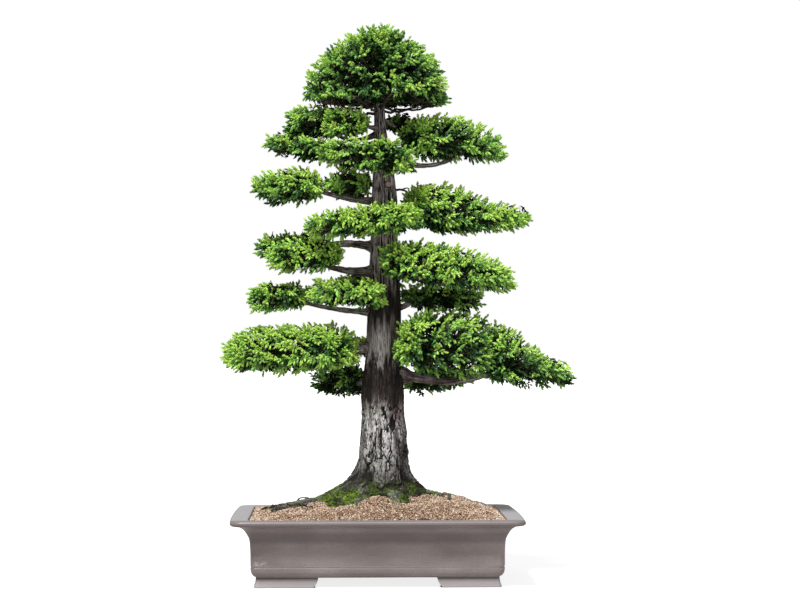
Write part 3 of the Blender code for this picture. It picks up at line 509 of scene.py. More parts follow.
def spine(pad, share):
    inner = np.array(pad.inner)
    return inner + np.multiply.outer(share, np.array(pad.tip) - inner)


def pad_axes(pad):
    along = np.array(pad.tip) - np.array(pad.inner)
    return along, float(np.linalg.norm(along)), unit(np.cross(UP, along))


def lump_directions(pad):
    rng = np.random.default_rng([LUMP_SEED, len(pad.name), round(abs(pad.tip[0]) * 1e4)])
    return unit(rng.normal(size=(LUMPS, 3)))


LUMP_TABLE = {pad.name: lump_directions(pad) for pad in PADS}


def lumpiness(pad, directions):
    peaks = np.exp(7 * (directions @ LUMP_TABLE[pad.name].T - 1))
    return 1 - LUMP_HEIGHT / 2 + LUMP_HEIGHT * np.minimum(1.0, peaks.max(axis=-1) * 1.2)


def powered_size(vectors):
    return (np.abs(vectors) ** PAD_POWER).sum(-1, keepdims=True) ** (1 / PAD_POWER)


def on_pad(pad, directions, scale=1.0):
    """Points of the pad's skin for directions of the unit sphere (along, side, up)."""
    along, length, side = pad_axes(pad)
    directions = unit(directions)
    full = directions / powered_size(directions)
    outer = directions[..., 0] > 0
    power = np.where(outer, pad.taper, pad.heel)
    bulge = lumpiness(pad, directions) * scale
    run = np.where(outer, 1 - pad.peak, pad.peak) * length
    forward = np.copysign(np.abs(full[..., 0]) ** (2 / power) * run * bulge, directions[..., 0])
    sideways = full[..., 1] * pad.half_width * bulge
    height = full[..., 2] * np.where(full[..., 2] > 0, pad.rise, pad.drop) * bulge
    place = spine(pad, pad.peak) + forward[..., None] * along / length + sideways[..., None] * side
    place[..., 2] += height
    return place


def reach(pad, points):
    """0 at the pad's middle, 1 on its skin, more outside."""
    along, length, side = pad_axes(pad)
    away = np.asarray(points, float) - spine(pad, pad.peak)
    level = along * (1, 1, 0)
    forward = away @ level / (level @ level) * length
    height = away[..., 2] - forward / length * along[2]
    outer = forward > 0
    run = np.where(outer, 1 - pad.peak, pad.peak) * length
    power = np.where(outer, pad.taper, pad.heel)
    first = np.copysign((np.abs(forward) / np.maximum(run, 0.01)) ** (power / 2), forward)
    third = height / np.where(height > 0, pad.rise, pad.drop)
    direction = stacked(first, away @ side / pad.half_width, third)
    return powered_size(direction)[..., 0] / lumpiness(pad, unit(direction))


def outward(pad, points):
    steps = 0.002 * np.eye(3)
    return unit(stacked(*(reach(pad, points + step) - reach(pad, points - step) for step in steps)))


def bough_curve(bough):
    """Points from inside the trunk to the middle of the pad, and where they enter it."""
    pad = next(pad for pad in PADS if pad.name == bough.pad)
    start, end = trunk_middle(bough.height), spine(pad, bough.entry)
    middle = (start + end) / 2 + 2 * bough.bow * UP
    rng = np.random.default_rng([LUMP_SEED, round(bough.height * 1000)])
    phase = rng.uniform(0, 2 * math.pi)
    sideways = unit(np.cross(end - start, UP))
    shares = np.linspace(0, 1, 81)[:, None]
    points = (1 - shares) ** 2 * start + 2 * shares * (1 - shares) * middle + shares**2 * end
    wave = np.sin(shares * 2 * math.pi * 1.3 + phase) * np.sin(shares * math.pi)
    points = points + BOUGH_WAVE * wave * sideways
    inside = reach(pad, points) < 1.0
    return points, int(np.argmax(inside[5:])) + 5


# --- Materials ---


class Nodes:
    """Short ways to make and join the nodes of one material."""

    def __init__(self, name):
        self.material = bpy.data.materials.new(name)
        self.material.use_nodes = True
        self.tree = self.material.node_tree
        self.shader = self.tree.nodes["Principled BSDF"]
        self.place = self.new("ShaderNodeTexCoord", {}).outputs["Object"]

    def new(self, kind, inputs, **settings):
        """A node with its settings, whose inputs are joined to a socket or given a value."""
        node = self.tree.nodes.new(kind)
        for key, value in settings.items():
            setattr(node, key, value)
        for key, value in inputs.items():
            self.put(node.inputs[key], value)
        return node

    def put(self, socket, value):
        if isinstance(value, bpy.types.NodeSocket):
            self.tree.links.new(value, socket)
        else:
            socket.default_value = (*value, 1.0) if socket.type == "RGBA" else value

    def math(self, operation, *values):
        return self.new("ShaderNodeMath", dict(enumerate(values)), operation=operation).outputs[0]

    def times(self, first, *others):
        for other in others:
            first = self.math("MULTIPLY", first, other)
        return first

    def plus(self, first, second):
        return self.math("ADD", first, second)

    def off(self, value, middle):
        """How far the value is from the middle."""
        return self.math("ABSOLUTE", self.math("SUBTRACT", value, middle))

    def noise(self, scale, detail=3.0, rough=0.55, vector=None):
        """Even noise, or noise with a scale for each axis."""
        vector = self.place if vector is None else vector
        if isinstance(scale, tuple):
            mapping = self.new("ShaderNodeMapping", {"Vector": vector, "Scale": scale})
            vector, scale = mapping.outputs[0], 1.0
        inputs = {"Vector": vector, "Scale": scale, "Detail": detail, "Roughness": rough}
        return self.new("ShaderNodeTexNoise", inputs).outputs["Fac"]

    def ramp(self, value, low, high, out_low=0.0, out_high=1.0):
        inputs = {"Value": value, "From Min": low, "From Max": high}
        inputs |= {"To Min": out_low, "To Max": out_high}
        return self.new("ShaderNodeMapRange", inputs, interpolation_type="SMOOTHSTEP").outputs[0]

    def mix(self, share, first, second):
        inputs = {0: share, 6: first, 7: second}
        return self.new("ShaderNodeMix", inputs, data_type="RGBA").outputs[2]

    def coats(self, colour, *layers):
        """The colour with each layer's own colour laid over it, by its share."""
        for share, coat in layers:
            colour = self.mix(share, colour, coat)
        return colour

    def attribute(self, name, output="Fac"):
        return self.new("ShaderNodeAttribute", {}, attribute_name=name).outputs[output]

    def axis(self, letter):
        return self.new("ShaderNodeSeparateXYZ", {0: self.place}).outputs[letter]

    def bump(self, height, strength, distance):
        inputs = {"Height": height, "Strength": strength, "Distance": distance}
        return self.new("ShaderNodeBump", inputs).outputs[0]

    def done(self, colour, roughness, specular=0.5, **others):
        values = {"Base_Color": colour, "Roughness": roughness, "Specular_IOR_Level": specular}
        for key, value in (values | others).items():
            self.put(self.shader.inputs[key.replace("_", " ")], value)
        return self.material


def plain_look(name, colour, roughness, specular):
    return Nodes(name).done(colour, roughness, specular)


def bark_look():
    """Reddish grey strips, pale lichened plates low down, black fissures with painted shade in them, painted
    highlights and bands of painted shade, and moss.
    """
    nodes = Nodes("bark_relief")
    ramp, times, off, mix = nodes.ramp, nodes.times, nodes.off, nodes.mix
    tone, stem = nodes.attribute("tone"), nodes.attribute("stem")
    across, height = nodes.axis("X"), nodes.axis("Z")
    grain = nodes.attribute("grain", "Vector")
    crust = nodes.noise(170.0, 5.0, 0.7)
    fibres = nodes.noise((430.0, 430.0, 22.0), 5.0, 0.65, grain)
    streaks = nodes.noise((90.0, 90.0, 7.0), 4.0, 0.65, grain)
    ragged = nodes.plus(
        times(nodes.math("SUBTRACT", streaks, 0.5), 0.12),
        times(nodes.math("SUBTRACT", fibres, 0.5), 0.10),
    )
    level = nodes.plus(height, ragged)
    from_light = off(across, TRUNK_LIGHT)
    # black: the bark's own dark fissures, with painted shade in them
    black = (0.0075, 0.0055, 0.0045)

    def fissures(scale, width):
        """Thin lines where a stretched noise passes its middle."""
        drawn = nodes.noise(scale, 2.5, 0.55, grain)
        return ramp(off(drawn, 0.5), 0.25 * width, width, 1.0, 0.0)

    def zone(middle, flat, fade, share):
        """A share of the trunk about one height, ragged at both ends."""
        return times(stem, ramp(off(level, middle), flat, fade, share, 0.0))

    # painted highlight along the trunk's lit line, fading higher up
    lit = times(ramp(from_light, 0.002, 0.026, 0.75, 0.0), ramp(height, 0.44, 0.60, 1.0, 0.35))
    strips = nodes.coats(
        mix(ramp(tone, 0.12, 0.90), (0.060, 0.042, 0.037), (0.440, 0.380, 0.355)),
        # the painted highlight
        (times(stem, lit), (0.560, 0.500, 0.480)),
        (ramp(nodes.noise(22.0), 0.45, 0.70, 0.0, 0.35), (0.300, 0.265, 0.255)),
        (times(stem, ramp(height, 0.600, 0.660, 0.0, 0.90)), (0.660, 0.560, 0.555)),  # pale top
        (ramp(fibres, 0.40, 0.58, 0.90, 0.0), (0.030, 0.019, 0.015)),
        (times(fissures((190.0, 190.0, 11.0), 0.020), 0.9), black),
    )
    lichen = ramp(nodes.noise(40.0, 4.0, 0.7), 0.47, 0.60, 0.0, 0.80)
    rust = times(ramp(across, -0.022, -0.008, 0.0, 0.75), ramp(height, 0.315, 0.350))
    # painted shade on the plates' right side, away from the key light, strongest low down
    painted_side_shade = times(
        ramp(across, -0.020, -0.002, 0.0, 0.85), ramp(height, 0.275, 0.320, 1.0, 0.25)
    )
    plates = nodes.coats(
        mix(ramp(tone, 0.05, 0.80), (0.170, 0.150, 0.145), (0.620, 0.595, 0.590)),
        (times(lichen, ramp(across, -0.045, 0.000, 1.0, 0.15)), (0.400, 0.450, 0.360)),
        (rust, (0.215, 0.135, 0.128)),
        (ramp(height, 0.325, 0.372, 0.0, 0.50), (0.190, 0.145, 0.148)),
        # painted shade on the right side
        (painted_side_shade, (0.075, 0.063, 0.060)),
        (ramp(crust, 0.36, 0.54, 0.55, 0.0), (0.040, 0.034, 0.031)),
        (fissures((88.0, 88.0, 19.0), 0.036), black),
        (times(fissures((210.0, 210.0, 62.0), 0.030), 0.75), black),
    )
    foot = nodes.coats(
        mix(ramp(tone, 0.10, 0.36), (0.014, 0.012, 0.010), (0.140, 0.134, 0.126)),
        (ramp(fibres, 0.42, 0.58, 0.7, 0.0), (0.012, 0.010, 0.009)),
        (fissures((120.0, 120.0, 45.0), 0.050), black),
        (ramp(crust, 0.60, 0.66), (0.330, 0.320, 0.310)),
    )
    dark = mix(ramp(fibres, 0.40, 0.62), (0.005, 0.003, 0.002), (0.030, 0.019, 0.015))
    shaded = times(zone(0.558, 0.006, 0.056, 0.95), ramp(across, -0.044, -0.034, 0.0, 0.92))
    # painted highlight on the trunk about halfway up, brightest near its lit line
    pale = times(zone(0.506, 0.004, 0.056, 0.90), ramp(from_light, 0.006, 0.034, 1.0, 0.35))
    green = mix(
        ramp(nodes.noise(230.0, 4.0), 0.38, 0.62), (0.020, 0.036, 0.005), (0.150, 0.240, 0.020)
    )
    colour = nodes.coats(
        mix(nodes.attribute("plates"), strips, plates),
        (zone(0.417, 0.034, 0.064, 0.97), dark),  # shade among the lowest masses
        (zone(0.586, 0.010, 0.062, 0.96), dark),  # and among the middle ones
        (shaded, dark),
        (ramp(height, 0.212, 0.255, 0.94, 0.0), foot),
        # the grooves, painted black: the bark's dark fissures with painted shade in them
        (ramp(nodes.attribute("groove"), 0.15, 0.75), black),
        # the painted highlight, broken by the fibres
        (times(pale, ramp(fibres, 0.38, 0.56, 0.20, 1.0)), (0.690, 0.620, 0.605)),
        (times(nodes.attribute("moss"), ramp(nodes.noise(75.0, 4.0, 0.7), 0.42, 0.55)), green),
    )
    relief = nodes.bump(nodes.plus(times(fibres, 0.8), times(crust, 0.6)), 0.8, 0.0018)
    return nodes.done(colour, ramp(fibres, 0.3, 0.7, 0.92, 0.74), 0.22, Normal=relief)


def twig_look():
    nodes = Nodes("twig_bark")
    grain = nodes.ramp(nodes.noise((420.0, 420.0, 420.0), 4.0, 0.6), 0.35, 0.65)
    return nodes.done(nodes.mix(grain, (0.026, 0.018, 0.013), (0.105, 0.080, 0.066)), 0.88, 0.2)


def clay_look():
    """Satin mauve-brown glaze: fine mottling, painted shade in the hollow, under the bead and above the feet,
    painted highlights on the bead and the lip's top, lime marks.
    """
    nodes = Nodes("pot_glaze")
    ramp, times, off = nodes.ramp, nodes.times, nodes.off
    height = nodes.axis("Z")
    cloud = nodes.noise((9.0, 9.0, 21.6), 4.0, 0.6)
    fine = nodes.noise(420.0, 3.0, 0.6)
    brushed = nodes.noise((16.0, 16.0, 620.0))
    chalk = nodes.noise((230.0, 230.0, 120.0), 4.0, 0.75)
    behind = ramp(nodes.axis("Y"), *LIP_FRONT, 0.10, 1.0)

    def near(value, half, share):
        """A share that falls off on both sides of one height."""
        return ramp(off(height, value), 0.25 * half, half, share, 0.0)

    scrawl = nodes.noise((150.0, 150.0, 260.0), 3.0, 0.6)
    scrawl = ramp(off(scrawl, 0.5), 0.010, 0.028, 0.85, 0.0)
    for letter, middle, half in LIME_MARK:
        scrawl = times(scrawl, ramp(off(nodes.axis(letter), middle), 0.5 * half, half, 1.0, 0.0))
    colour = nodes.coats(
        nodes.mix(ramp(cloud, 0.35, 0.68), (0.255, 0.206, 0.196), (0.340, 0.286, 0.275)),
        (ramp(fine, 0.30, 0.72, 0.35, 0.0), (0.110, 0.085, 0.078)),
        (ramp(brushed, 0.45, 0.75, 0.0, 0.22), (0.300, 0.255, 0.245)),
        (near(0.1035, 0.018, 0.58), (0.100, 0.078, 0.072)),  # the neck: painted shade in its hollow under the lip
        (ramp(height, 0.124, 0.133, 0.0, 0.66), (0.120, 0.098, 0.096)),  # the lip's face
        (near(0.0412, 0.0016, 0.45), (0.085, 0.066, 0.060)),  # painted shade under the bead
        (near(0.0435, 0.0014, 0.55), (0.500, 0.465, 0.475)),  # painted highlight on the bead
        # painted highlight on the lip's top, faint at its front side
        (times(behind, ramp(height, 0.1376, 0.1387, 0.0, 0.66)), (0.380, 0.380, 0.395)),
        (ramp(height, 0.0175, 0.0185, 0.55, 0.0), (0.330, 0.305, 0.318)),  # the feet
        (near(0.0190, 0.0024, 0.85), (0.060, 0.048, 0.044)),  # painted shadow above them, where the wall meets the feet
        (scrawl, (0.600, 0.580, 0.570)),
        (times(ramp(chalk, 0.60, 0.68), nodes.attribute("wear")), (0.560, 0.540, 0.520)),
    )
    relief = nodes.bump(nodes.plus(times(fine, 0.4), cloud), 0.22, 0.0006)
    roughness = ramp(cloud, 0.3, 0.7, 0.46, 0.36)
    return nodes.done(colour, roughness, Normal=relief, Coat_Weight=0.12, Coat_Roughness=0.22)


def soil_bed_look():
    nodes = Nodes("soil_bed")
    grain = nodes.new("ShaderNodeTexVoronoi", {"Vector": nodes.place, "Scale": 420.0})
    away = grain.outputs["Distance"]
    earth = nodes.ramp(nodes.noise(60.0), 0.3, 0.7)
    colour = nodes.coats(
        nodes.mix(earth, (0.150, 0.080, 0.040), (0.300, 0.175, 0.090)),
        (nodes.ramp(away, 0.2, 0.9), (0.040, 0.025, 0.016)),
        # painted shade where the soil meets the pot's wall
        (nodes.attribute("rim"), (0.018, 0.013, 0.010)),
    )
    return nodes.done(colour, 0.95, Normal=nodes.bump(away, 0.6, 0.001))


def speckled_look(name, low, high):
    nodes = Nodes(name)
    return nodes.done(nodes.mix(nodes.ramp(nodes.noise(900.0), 0.3, 0.7), low, high), 0.93, 0.2)


# --- Pot ---


def rounded_rectangle(inset, height, steps=9, straight=14):
    """One ring of the pot, whose sides are divided for the glaze's slight waves."""
    half = np.array((LIP_HALF_LENGTH, LIP_HALF_DEPTH)) - inset
    corner = max(LIP_CORNER - 0.3 * inset, 0.010)
    arcs = []
    for quarter, signs in enumerate(((1, 1), (-1, 1), (-1, -1), (1, -1))):
        angles = math.pi / 2 * (quarter + np.arange(steps + 1) / steps)
        arcs.append(signs * (half - corner) + corner * stacked(np.cos(angles), np.sin(angles)))
    shares = np.arange(1, straight)[:, None] / straight
    ring = []
    for arc, after in zip(arcs, arcs[1:] + arcs[:1]):
        ring += [arc, arc[-1] + shares * (after[0] - arc[-1])]
    x, y = np.concatenate(ring).T
    swell = LIP_BOW * math.exp(-inset / 0.012) if height > 0.12 else 0.0
    x = x + np.sign(x) * swell * np.clip(1 - (y / half[1]) ** 2, 0, 1)
    return stacked(x, y, np.full(len(x), height))


def smooth_profile(rows, between=5):
    """A flowing curve through the rows, which keeps their places."""
    rows = np.array(rows)
    padded = np.concatenate([rows[:1], rows, rows[-1:]])
    t = np.arange(between)[:, None] / between
    out = []
    for before, here, after, later in zip(padded, padded[1:], padded[2:], padded[3:]):
        size = np.linalg.norm(after - here) * 0.5
        ends = (2 * t**3 - 3 * t**2 + 1) * here + (3 * t**2 - 2 * t**3) * after
        lead, trail = unit(after - before) * size, unit(later - here) * size
        out.append(ends + (t**3 - 2 * t**2 + t) * lead + (t**3 - t**2) * trail)
    return np.concatenate([*out, rows[-1:]])


def pot_foot(sign_x, sign_y):
    """Rings of one bracket foot, from the ground up into the pot."""
    base = np.array((LIP_HALF_LENGTH, LIP_HALF_DEPTH)) - FOOT_INSET
    angles = math.pi / 2 * np.arange(7) / 6
    rings = []
    for share, inset, height in FOOT_LEVELS:
        out = FOOT_FLARE * share - inset
        outer_x, outer_y = base + out
        inner_x, inner_y = base - out - FOOT_WALL
        end_x, end_y = base - (FOOT_LENGTH, FOOT_DEPTH) - 2 * (FOOT_FLARE - out)
        arc = base + out + FOOT_CORNER * (stacked(np.cos(angles), np.sin(angles)) - 1)
        ring = [(outer_x, end_y), (outer_x, 0.5 * (end_y + outer_y)), *arc]
        ring += [(0.5 * (end_x + outer_x), outer_y), (end_x, outer_y)]
        ring += [(end_x, inner_y), (inner_x, inner_y), (inner_x, end_y)]
        x, y = np.array(ring).T
        rings.append(stacked(sign_x * x, sign_y * y, np.full(len(x), height)))
    return np.array(rings)[:, :: sign_x * sign_y]


def make_pot():
    walls = np.array([rounded_rectangle(*row) for row in smooth_profile(POT_OUTSIDE + POT_INSIDE)])
    walls += unit(walls * (1, 1, 0)) * 0.0007 * noise(walls, 0.16, 5)[..., None]
    feet = [pot_foot(*signs) for signs in itertools.product((1, -1), repeat=2)]
    polygons = []
    start = 0
    for levels, count in (body.shape[:2] for body in [walls, *feet]):
        polygons += (tube_faces(levels, count, capped=False) + start).tolist()
        polygons.append(list(range(start, start + count))[::-1])
        start += levels * count
        polygons.append(list(range(start - count, start)))
    points = np.concatenate([body.reshape(-1, 3) for body in [walls, *feet]])
    x, y, z = points.T
    away_x, away_z = x - CHIPPED_CORNER[0], z - CHIPPED_CORNER[1]
    corner = np.exp(-((away_x / 0.020) ** 2) - (away_z / 0.011) ** 2) * (y < -0.10)
    speck = 0.30 * (noise(points, 0.05, 9) > 0.55) * (z < 0.06)
    masks = {"wear": np.clip(1.15 * corner + speck, 0, 1)}
    pot = mesh_object("pot_body", points, polygons, clay_look(), smooth=True, attributes=masks)
    pot.data.set_sharp_from_angle(angle=math.radians(38))
    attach(pot, "root")
    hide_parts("pot")


# --- Soil ---

OCTAHEDRON = np.array(((1, 0, 0), (-1, 0, 0), (0, 1, 0), (0, -1, 0), (0, 0, 1), (0, 0, -1)), float)
OCTAHEDRON_FACES = (
    (0, 2, 4), (2, 1, 4), (1, 3, 4), (3, 0, 4), (2, 0, 5), (1, 2, 5), (3, 1, 5), (0, 3, 5)
)


def inside_pot(x, y, margin, corner=0.014):
    over_x = np.maximum(np.abs(x) - (SOIL_HALF_X - margin) + corner, 0)
    over_y = np.maximum(np.abs(y) - (SOIL_HALF_Y - margin) + corner, 0)
    return np.hypot(over_x, over_y) < corner


def from_wall(x, y):
    return np.minimum(SOIL_HALF_X - np.abs(x), SOIL_HALF_Y - np.abs(y))


def soil_top(x, y):
    """The mound with its small unevenness."""
    flat = stacked(x, y, np.zeros_like(x))
    room = smoothstep(0.0, 0.03, from_wall(x, y))
    rise, lap_x, lap_y = SOIL_LAP
    lap = rise * np.exp(-(((x - lap_x) / 0.038) ** 2) - ((y - lap_y) / 0.034) ** 2)
    uneven = 0.0024 * noise(flat, 0.030, 11) + 0.0012 * noise(flat, 0.011, 12)
    return soil_height(x, y) + lap + room * uneven


def make_soil_bed():
    columns, rows = 150, 100
    x = np.linspace(-1, 1, columns) * (SOIL_HALF_X + 0.0015)
    y = np.linspace(-1, 1, rows) * (SOIL_HALF_Y + 0.0015)
    x, y = np.meshgrid(x, y, indexing="ij")
    points = stacked(x, y, soil_top(x, y) - 0.0012).reshape(-1, 3)
    faces = grid_faces(columns, rows)[:, (0, 3, 2, 1)]
    # rim: the band along the pot's wall that takes painted shade
    masks = {"rim": (1 - smoothstep(0.0045, 0.0085, from_wall(x, y))).ravel()}
    bed = mesh_object("soil_bed", points, faces, soil_bed_look(), smooth=True, attributes=masks)
    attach(bed, "root")
    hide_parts("soil")


def make_grains():
    """Loose grains in jittered rows, each a lumpy octahedron turned at random."""
    rng = np.random.default_rng([SEED, 31])
    spans = (np.arange(-half, half, GRAIN_PITCH) for half in (SOIL_HALF_X, SOIL_HALF_Y))
    x, y = (
        (line + rng.uniform(-0.5, 0.5, line.shape) * GRAIN_PITCH).ravel()
        for line in np.meshgrid(*spans, indexing="ij")
    )
    angle = np.arctan2(y, x - trunk_middle_x(0.165))
    ground = soil_top(x, y)
    clear = np.hypot(x - trunk_middle_x(ground), y) > trunk_surface(ground, angle) - 0.002
    keep = inside_pot(x, y, 0.0032) & clear
    x, y, ground = x[keep], y[keep], ground[keep]
    count = len(x)
    size = np.minimum(GRAIN_SIZE * rng.lognormal(0.0, 0.28, count), LARGEST_GRAIN)
    kind = rng.choice(len(GRAINS), count, p=[row[1] for row in GRAINS])
    size = np.where(kind == 3, size * 1.25, size)
    shape = OCTAHEDRON[None] * rng.uniform(0.75, 1.3, (count, 6, 1))
    shape = shape + rng.normal(scale=0.16, size=(count, 6, 3))
    for axis, turn in enumerate(rng.uniform(0, 2 * math.pi, (3, count))):
        cosine, sine = np.cos(turn)[:, None], np.sin(turn)[:, None]
        a, b = (axis + 1) % 3, (axis + 2) % 3
        first, second = shape[..., a].copy(), shape[..., b].copy()
        shape[..., a] = first * cosine - second * sine
        shape[..., b] = first * sine + second * cosine
    centres = stacked(x, y, ground + size * rng.uniform(-0.1, 0.75, count))
    grains = centres[:, None] + shape * size[:, None, None] * (1.35, 1.35, 1.1)
    for number, (name, _, low, high) in enumerate(GRAINS):
        heap = Heap()
        heap.add(grains[kind == number], OCTAHEDRON_FACES)
        pieces_from(name, heap, speckled_look(name, low, high))


# --- Trunk ---


def trunk_heights():
    spans = ((GROUND_CUT, 0.44, 0.0019), (0.44, 0.95, 0.0030), (0.95, TRUNK_TIP, 0.006))
    return np.concatenate([*(np.arange(*span) for span in spans), [TRUNK_TIP]])


def bark_relief(height, angle):
    """How far the bark stands out, and the masks its material reads."""
    ring = stacked(np.cos(angle) * 0.046, np.sin(angle) * 0.046, height)
    warp, fine_warp = noise(ring, 0.030, 21), noise(ring, 0.009, 22)
    slab = ring * (1, 1, 0.19)
    slab[..., :2] *= (1 + 0.12 * warp + 0.05 * fine_warp)[..., None]
    slab[..., 2] += 0.0035 * fine_warp
    crack = crease(0.02, 0.15, noise(slab, 0.0105, 27) + 0.45 * noise(slab, 0.0045, 28))
    chips = noise(slab * (1, 1, 1.7), 0.0056, 29) + 0.4 * noise(ring, 0.0045, 30)
    chip = crease(0.02, 0.22, chips)
    crag = 0.0020 * noise(slab, 0.0085, 31) - 0.0034 * crack - 0.0012 * chip
    foot = 1 - smoothstep(0.205, 0.245, height + 0.012 * warp)
    cleft = crease(0.03, 0.30, noise(ring * (1, 1, 0.42), 0.0185, 33))
    knots = noise(ring * (1, 1, 0.6), 0.0080, 34)
    crag = crag + 0.0006 * fine_warp + foot * (0.0024 * knots - 0.0052 * cleft)
    # groove masks: where the relief sinks, which the material paints black as dark fissures with painted shade
    # in them
    crag_groove = np.maximum(crack, 0.50 * chip)
    crag_groove = np.maximum(crag_groove, foot * np.maximum(cleft, 0.9 * (knots < -0.25)))
    around = ring * (1, 1, 1 / 16)
    around[..., :2] *= (1 + 0.10 * warp)[..., None]
    strips = noise(around, 0.0058, 23) + 0.35 * noise(around, 0.0028, 24)
    threads = noise(around * (1, 1, 1.6), 0.0030, 25)
    strip_gap, thread_gap = crease(0.02, 0.22, strips), crease(0.02, 0.34, threads)
    slim = np.clip(trunk_radius(height) / 0.040, 0.2, 1.0)
    fibre = (0.0012 * strips - 0.0019 * strip_gap - 0.0008 * thread_gap) * slim
    # painted black too: dark gaps between fibres, with painted shade in them
    fibre_groove = np.maximum(0.95 * strip_gap, 0.6 * thread_gap)
    plates = 1 - smoothstep(0.345, 0.385, height + 0.022 * warp)
    crag_tone = 0.5 + 0.75 * noise(slab, 0.0080, 32)
    fibre_tone = 0.5 + 0.7 * noise(around, 0.0060, 26) + 0.25 * threads
    relief, groove, tone = (
        plates * low + (1 - plates) * high
        for low, high in ((crag, fibre), (crag_groove, fibre_groove), (crag_tone, fibre_tone))
    )
    tone = np.clip(tone, 0, 1) * (0.45 + 0.55 * smoothstep(0.185, 0.250, height))
    return relief, groove, tone, plates


def moss_share(points):
    """Where moss grows: low on the roots, most in front and to the left."""
    x, y, z = np.moveaxis(points, -1, 0)
    above = z - soil_height(x, y)
    low = 1 - smoothstep(0.008, 0.050, above + 0.022 * noise(points, 0.028, 41))
    left = smoothstep(-0.152, -0.122, x + 0.012 * noise(points, 0.02, 45))
    left = left * (1 - smoothstep(-0.07, 0.02, x))
    near = smoothstep(-0.155, -0.120, x)
    share = 0.46 * near - 0.04 + 0.55 * left + 0.60 * noise(points, 0.018, 42)
    return np.clip(low * share, 0, 1)


def make_trunk(look):
    heights = trunk_heights()
    turns = 2 * math.pi * np.arange(AROUND) / AROUND
    height, angle = np.meshgrid(heights, turns, indexing="ij")
    relief, *masks = bark_relief(height, angle)
    points = bark_points(height, angle, relief).reshape(-1, 3)
    masks = {key: mask.ravel() for key, mask in zip(("groove", "tone", "plates"), masks)}
    masks |= {"stem": np.ones(len(points)), "grain": points, "moss": moss_share(points)}
    faces = grid_faces(len(heights), AROUND, closed=True)
    trunk = mesh_object("trunk_bark", points, faces, look, smooth=True, attributes=masks)
    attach(trunk, "root")
    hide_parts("trunk")


def runner_path(runner, steps=7):
    """The way of a surface root over the soil."""
    heading = math.radians(runner.azimuth)
    place = trunk_middle(GROUND_CUT) + runner.start * 0.6 * heading_of(heading)
    step_length = (runner.length + runner.start * 0.4) / (steps - 1)
    points = []
    for share in np.arange(steps) / (steps - 1):
        radius = runner.radius + (runner.tip - runner.radius) * share
        points.append((*place[:2], soil_height(*place[:2]) + 0.45 * radius))
        bend = runner.turn * math.sin(2.4 * math.pi * share)
        place = place + step_length * heading_of(heading + bend)
    return np.array(points)


class BarkHeap(Heap):
    """Triangles with the bark's masks."""

    def __init__(self):
        super().__init__()
        self.masks = []

    def add_limb(self, path, radii, sides, salt, roughness=0.16, tone=0.45):
        """One limb with a bark-like surface."""
        path, radii = np.asarray(path, float), np.asarray(radii, float)
        points = tube_points(path[None], radii[None], sides)[0]
        centres = np.repeat(path, sides, axis=0)
        bumps = noise(points, 0.006, salt) * 0.6 + noise(points, 0.0025, salt + 1) * 0.5
        ridges = noise(points, 0.011, salt + 2)
        swell = 1 + roughness * (bumps + 0.5 * ridges)
        points = centres + (points - centres) * swell[:, None]
        ring = (radii[:, None, None] * circle(sides)).reshape(-1, 2)
        grain = np.column_stack([ring, np.repeat(lengths_along(path), sides)]) + 0.37 * salt
        # groove: the limb's recesses, which the material paints black as dark fissures with painted shade in
        # them
        groove = np.clip(-bumps, 0, 1) * 0.8
        columns = (groove, tone + 0.4 * ridges, 0 * bumps, moss_share(points), grain)
        self.add(points, tube_faces(len(path), sides))
        self.masks.append(np.column_stack(columns))

    def object(self, name, look):
        masks = np.concatenate(self.masks)
        attributes = dict(zip(("groove", "tone", "plates", "moss"), masks.T))
        attributes["grain"] = masks[:, 4:]
        piece = mesh_object(name, *self.arrays(), look, smooth=True, attributes=attributes)
        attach(piece, "root")
        return piece


def make_roots(look):
    """Surface roots, with thin strands that curl over the soil at their far ends."""
    heap = BarkHeap()
    rng = np.random.default_rng([SEED, 51])
    for number, runner in enumerate(RUNNERS):
        path = resampled(runner_path(runner), 40)
        radii = np.linspace(runner.radius, runner.tip, 40) * (1 + 0.12 * rng.normal(size=40))
        heap.add_limb(path, radii, 12, 60 + number, 0.22)
    steps = 14
    for strand in range(STRANDS):
        spans = ((-0.215, -0.140), (-0.070, 0.005), (2.5, 3.8), (-1.6, 1.6))
        x, y, heading, turn = (rng.uniform(*span) for span in spans)
        length, arch = rng.uniform(0.026, 0.060), rng.uniform(0.002, 0.007)
        path = []
        for step in range(steps):
            lift = 0.0012 + arch * math.sin(math.pi * step / (steps - 1)) + 0.0008 * rng.random()
            path.append((x, y, soil_height(x, y) + lift))
            heading += turn * 3.0 / steps + 0.20 * rng.normal()
            x = min(max(x + length / steps * math.cos(heading), -0.255), 0.25)
            y += length / steps * math.sin(heading)
        radii = np.linspace(rng.uniform(0.0016, 0.0032), 0.0008, steps)
        heap.add_limb(path, radii, 6, 80 + strand, 0.25, 0.15 if strand % 3 == 0 else 0.95)
    for number, (x, y, tall, radius) in enumerate(UPRIGHT_ENDS):
        steps = ((-0.002, 0, -0.004), (0, 0, tall * 0.5), (0.001, 0, tall))
        path = resampled(np.array((x, y, soil_height(x, y))) + steps, 8)
        radii = np.linspace(radius * 1.15, radius * 0.8, 8)
        heap.add_limb(path, radii, 9, 120 + number, 0.2)
    return heap.object("surface_roots", look)


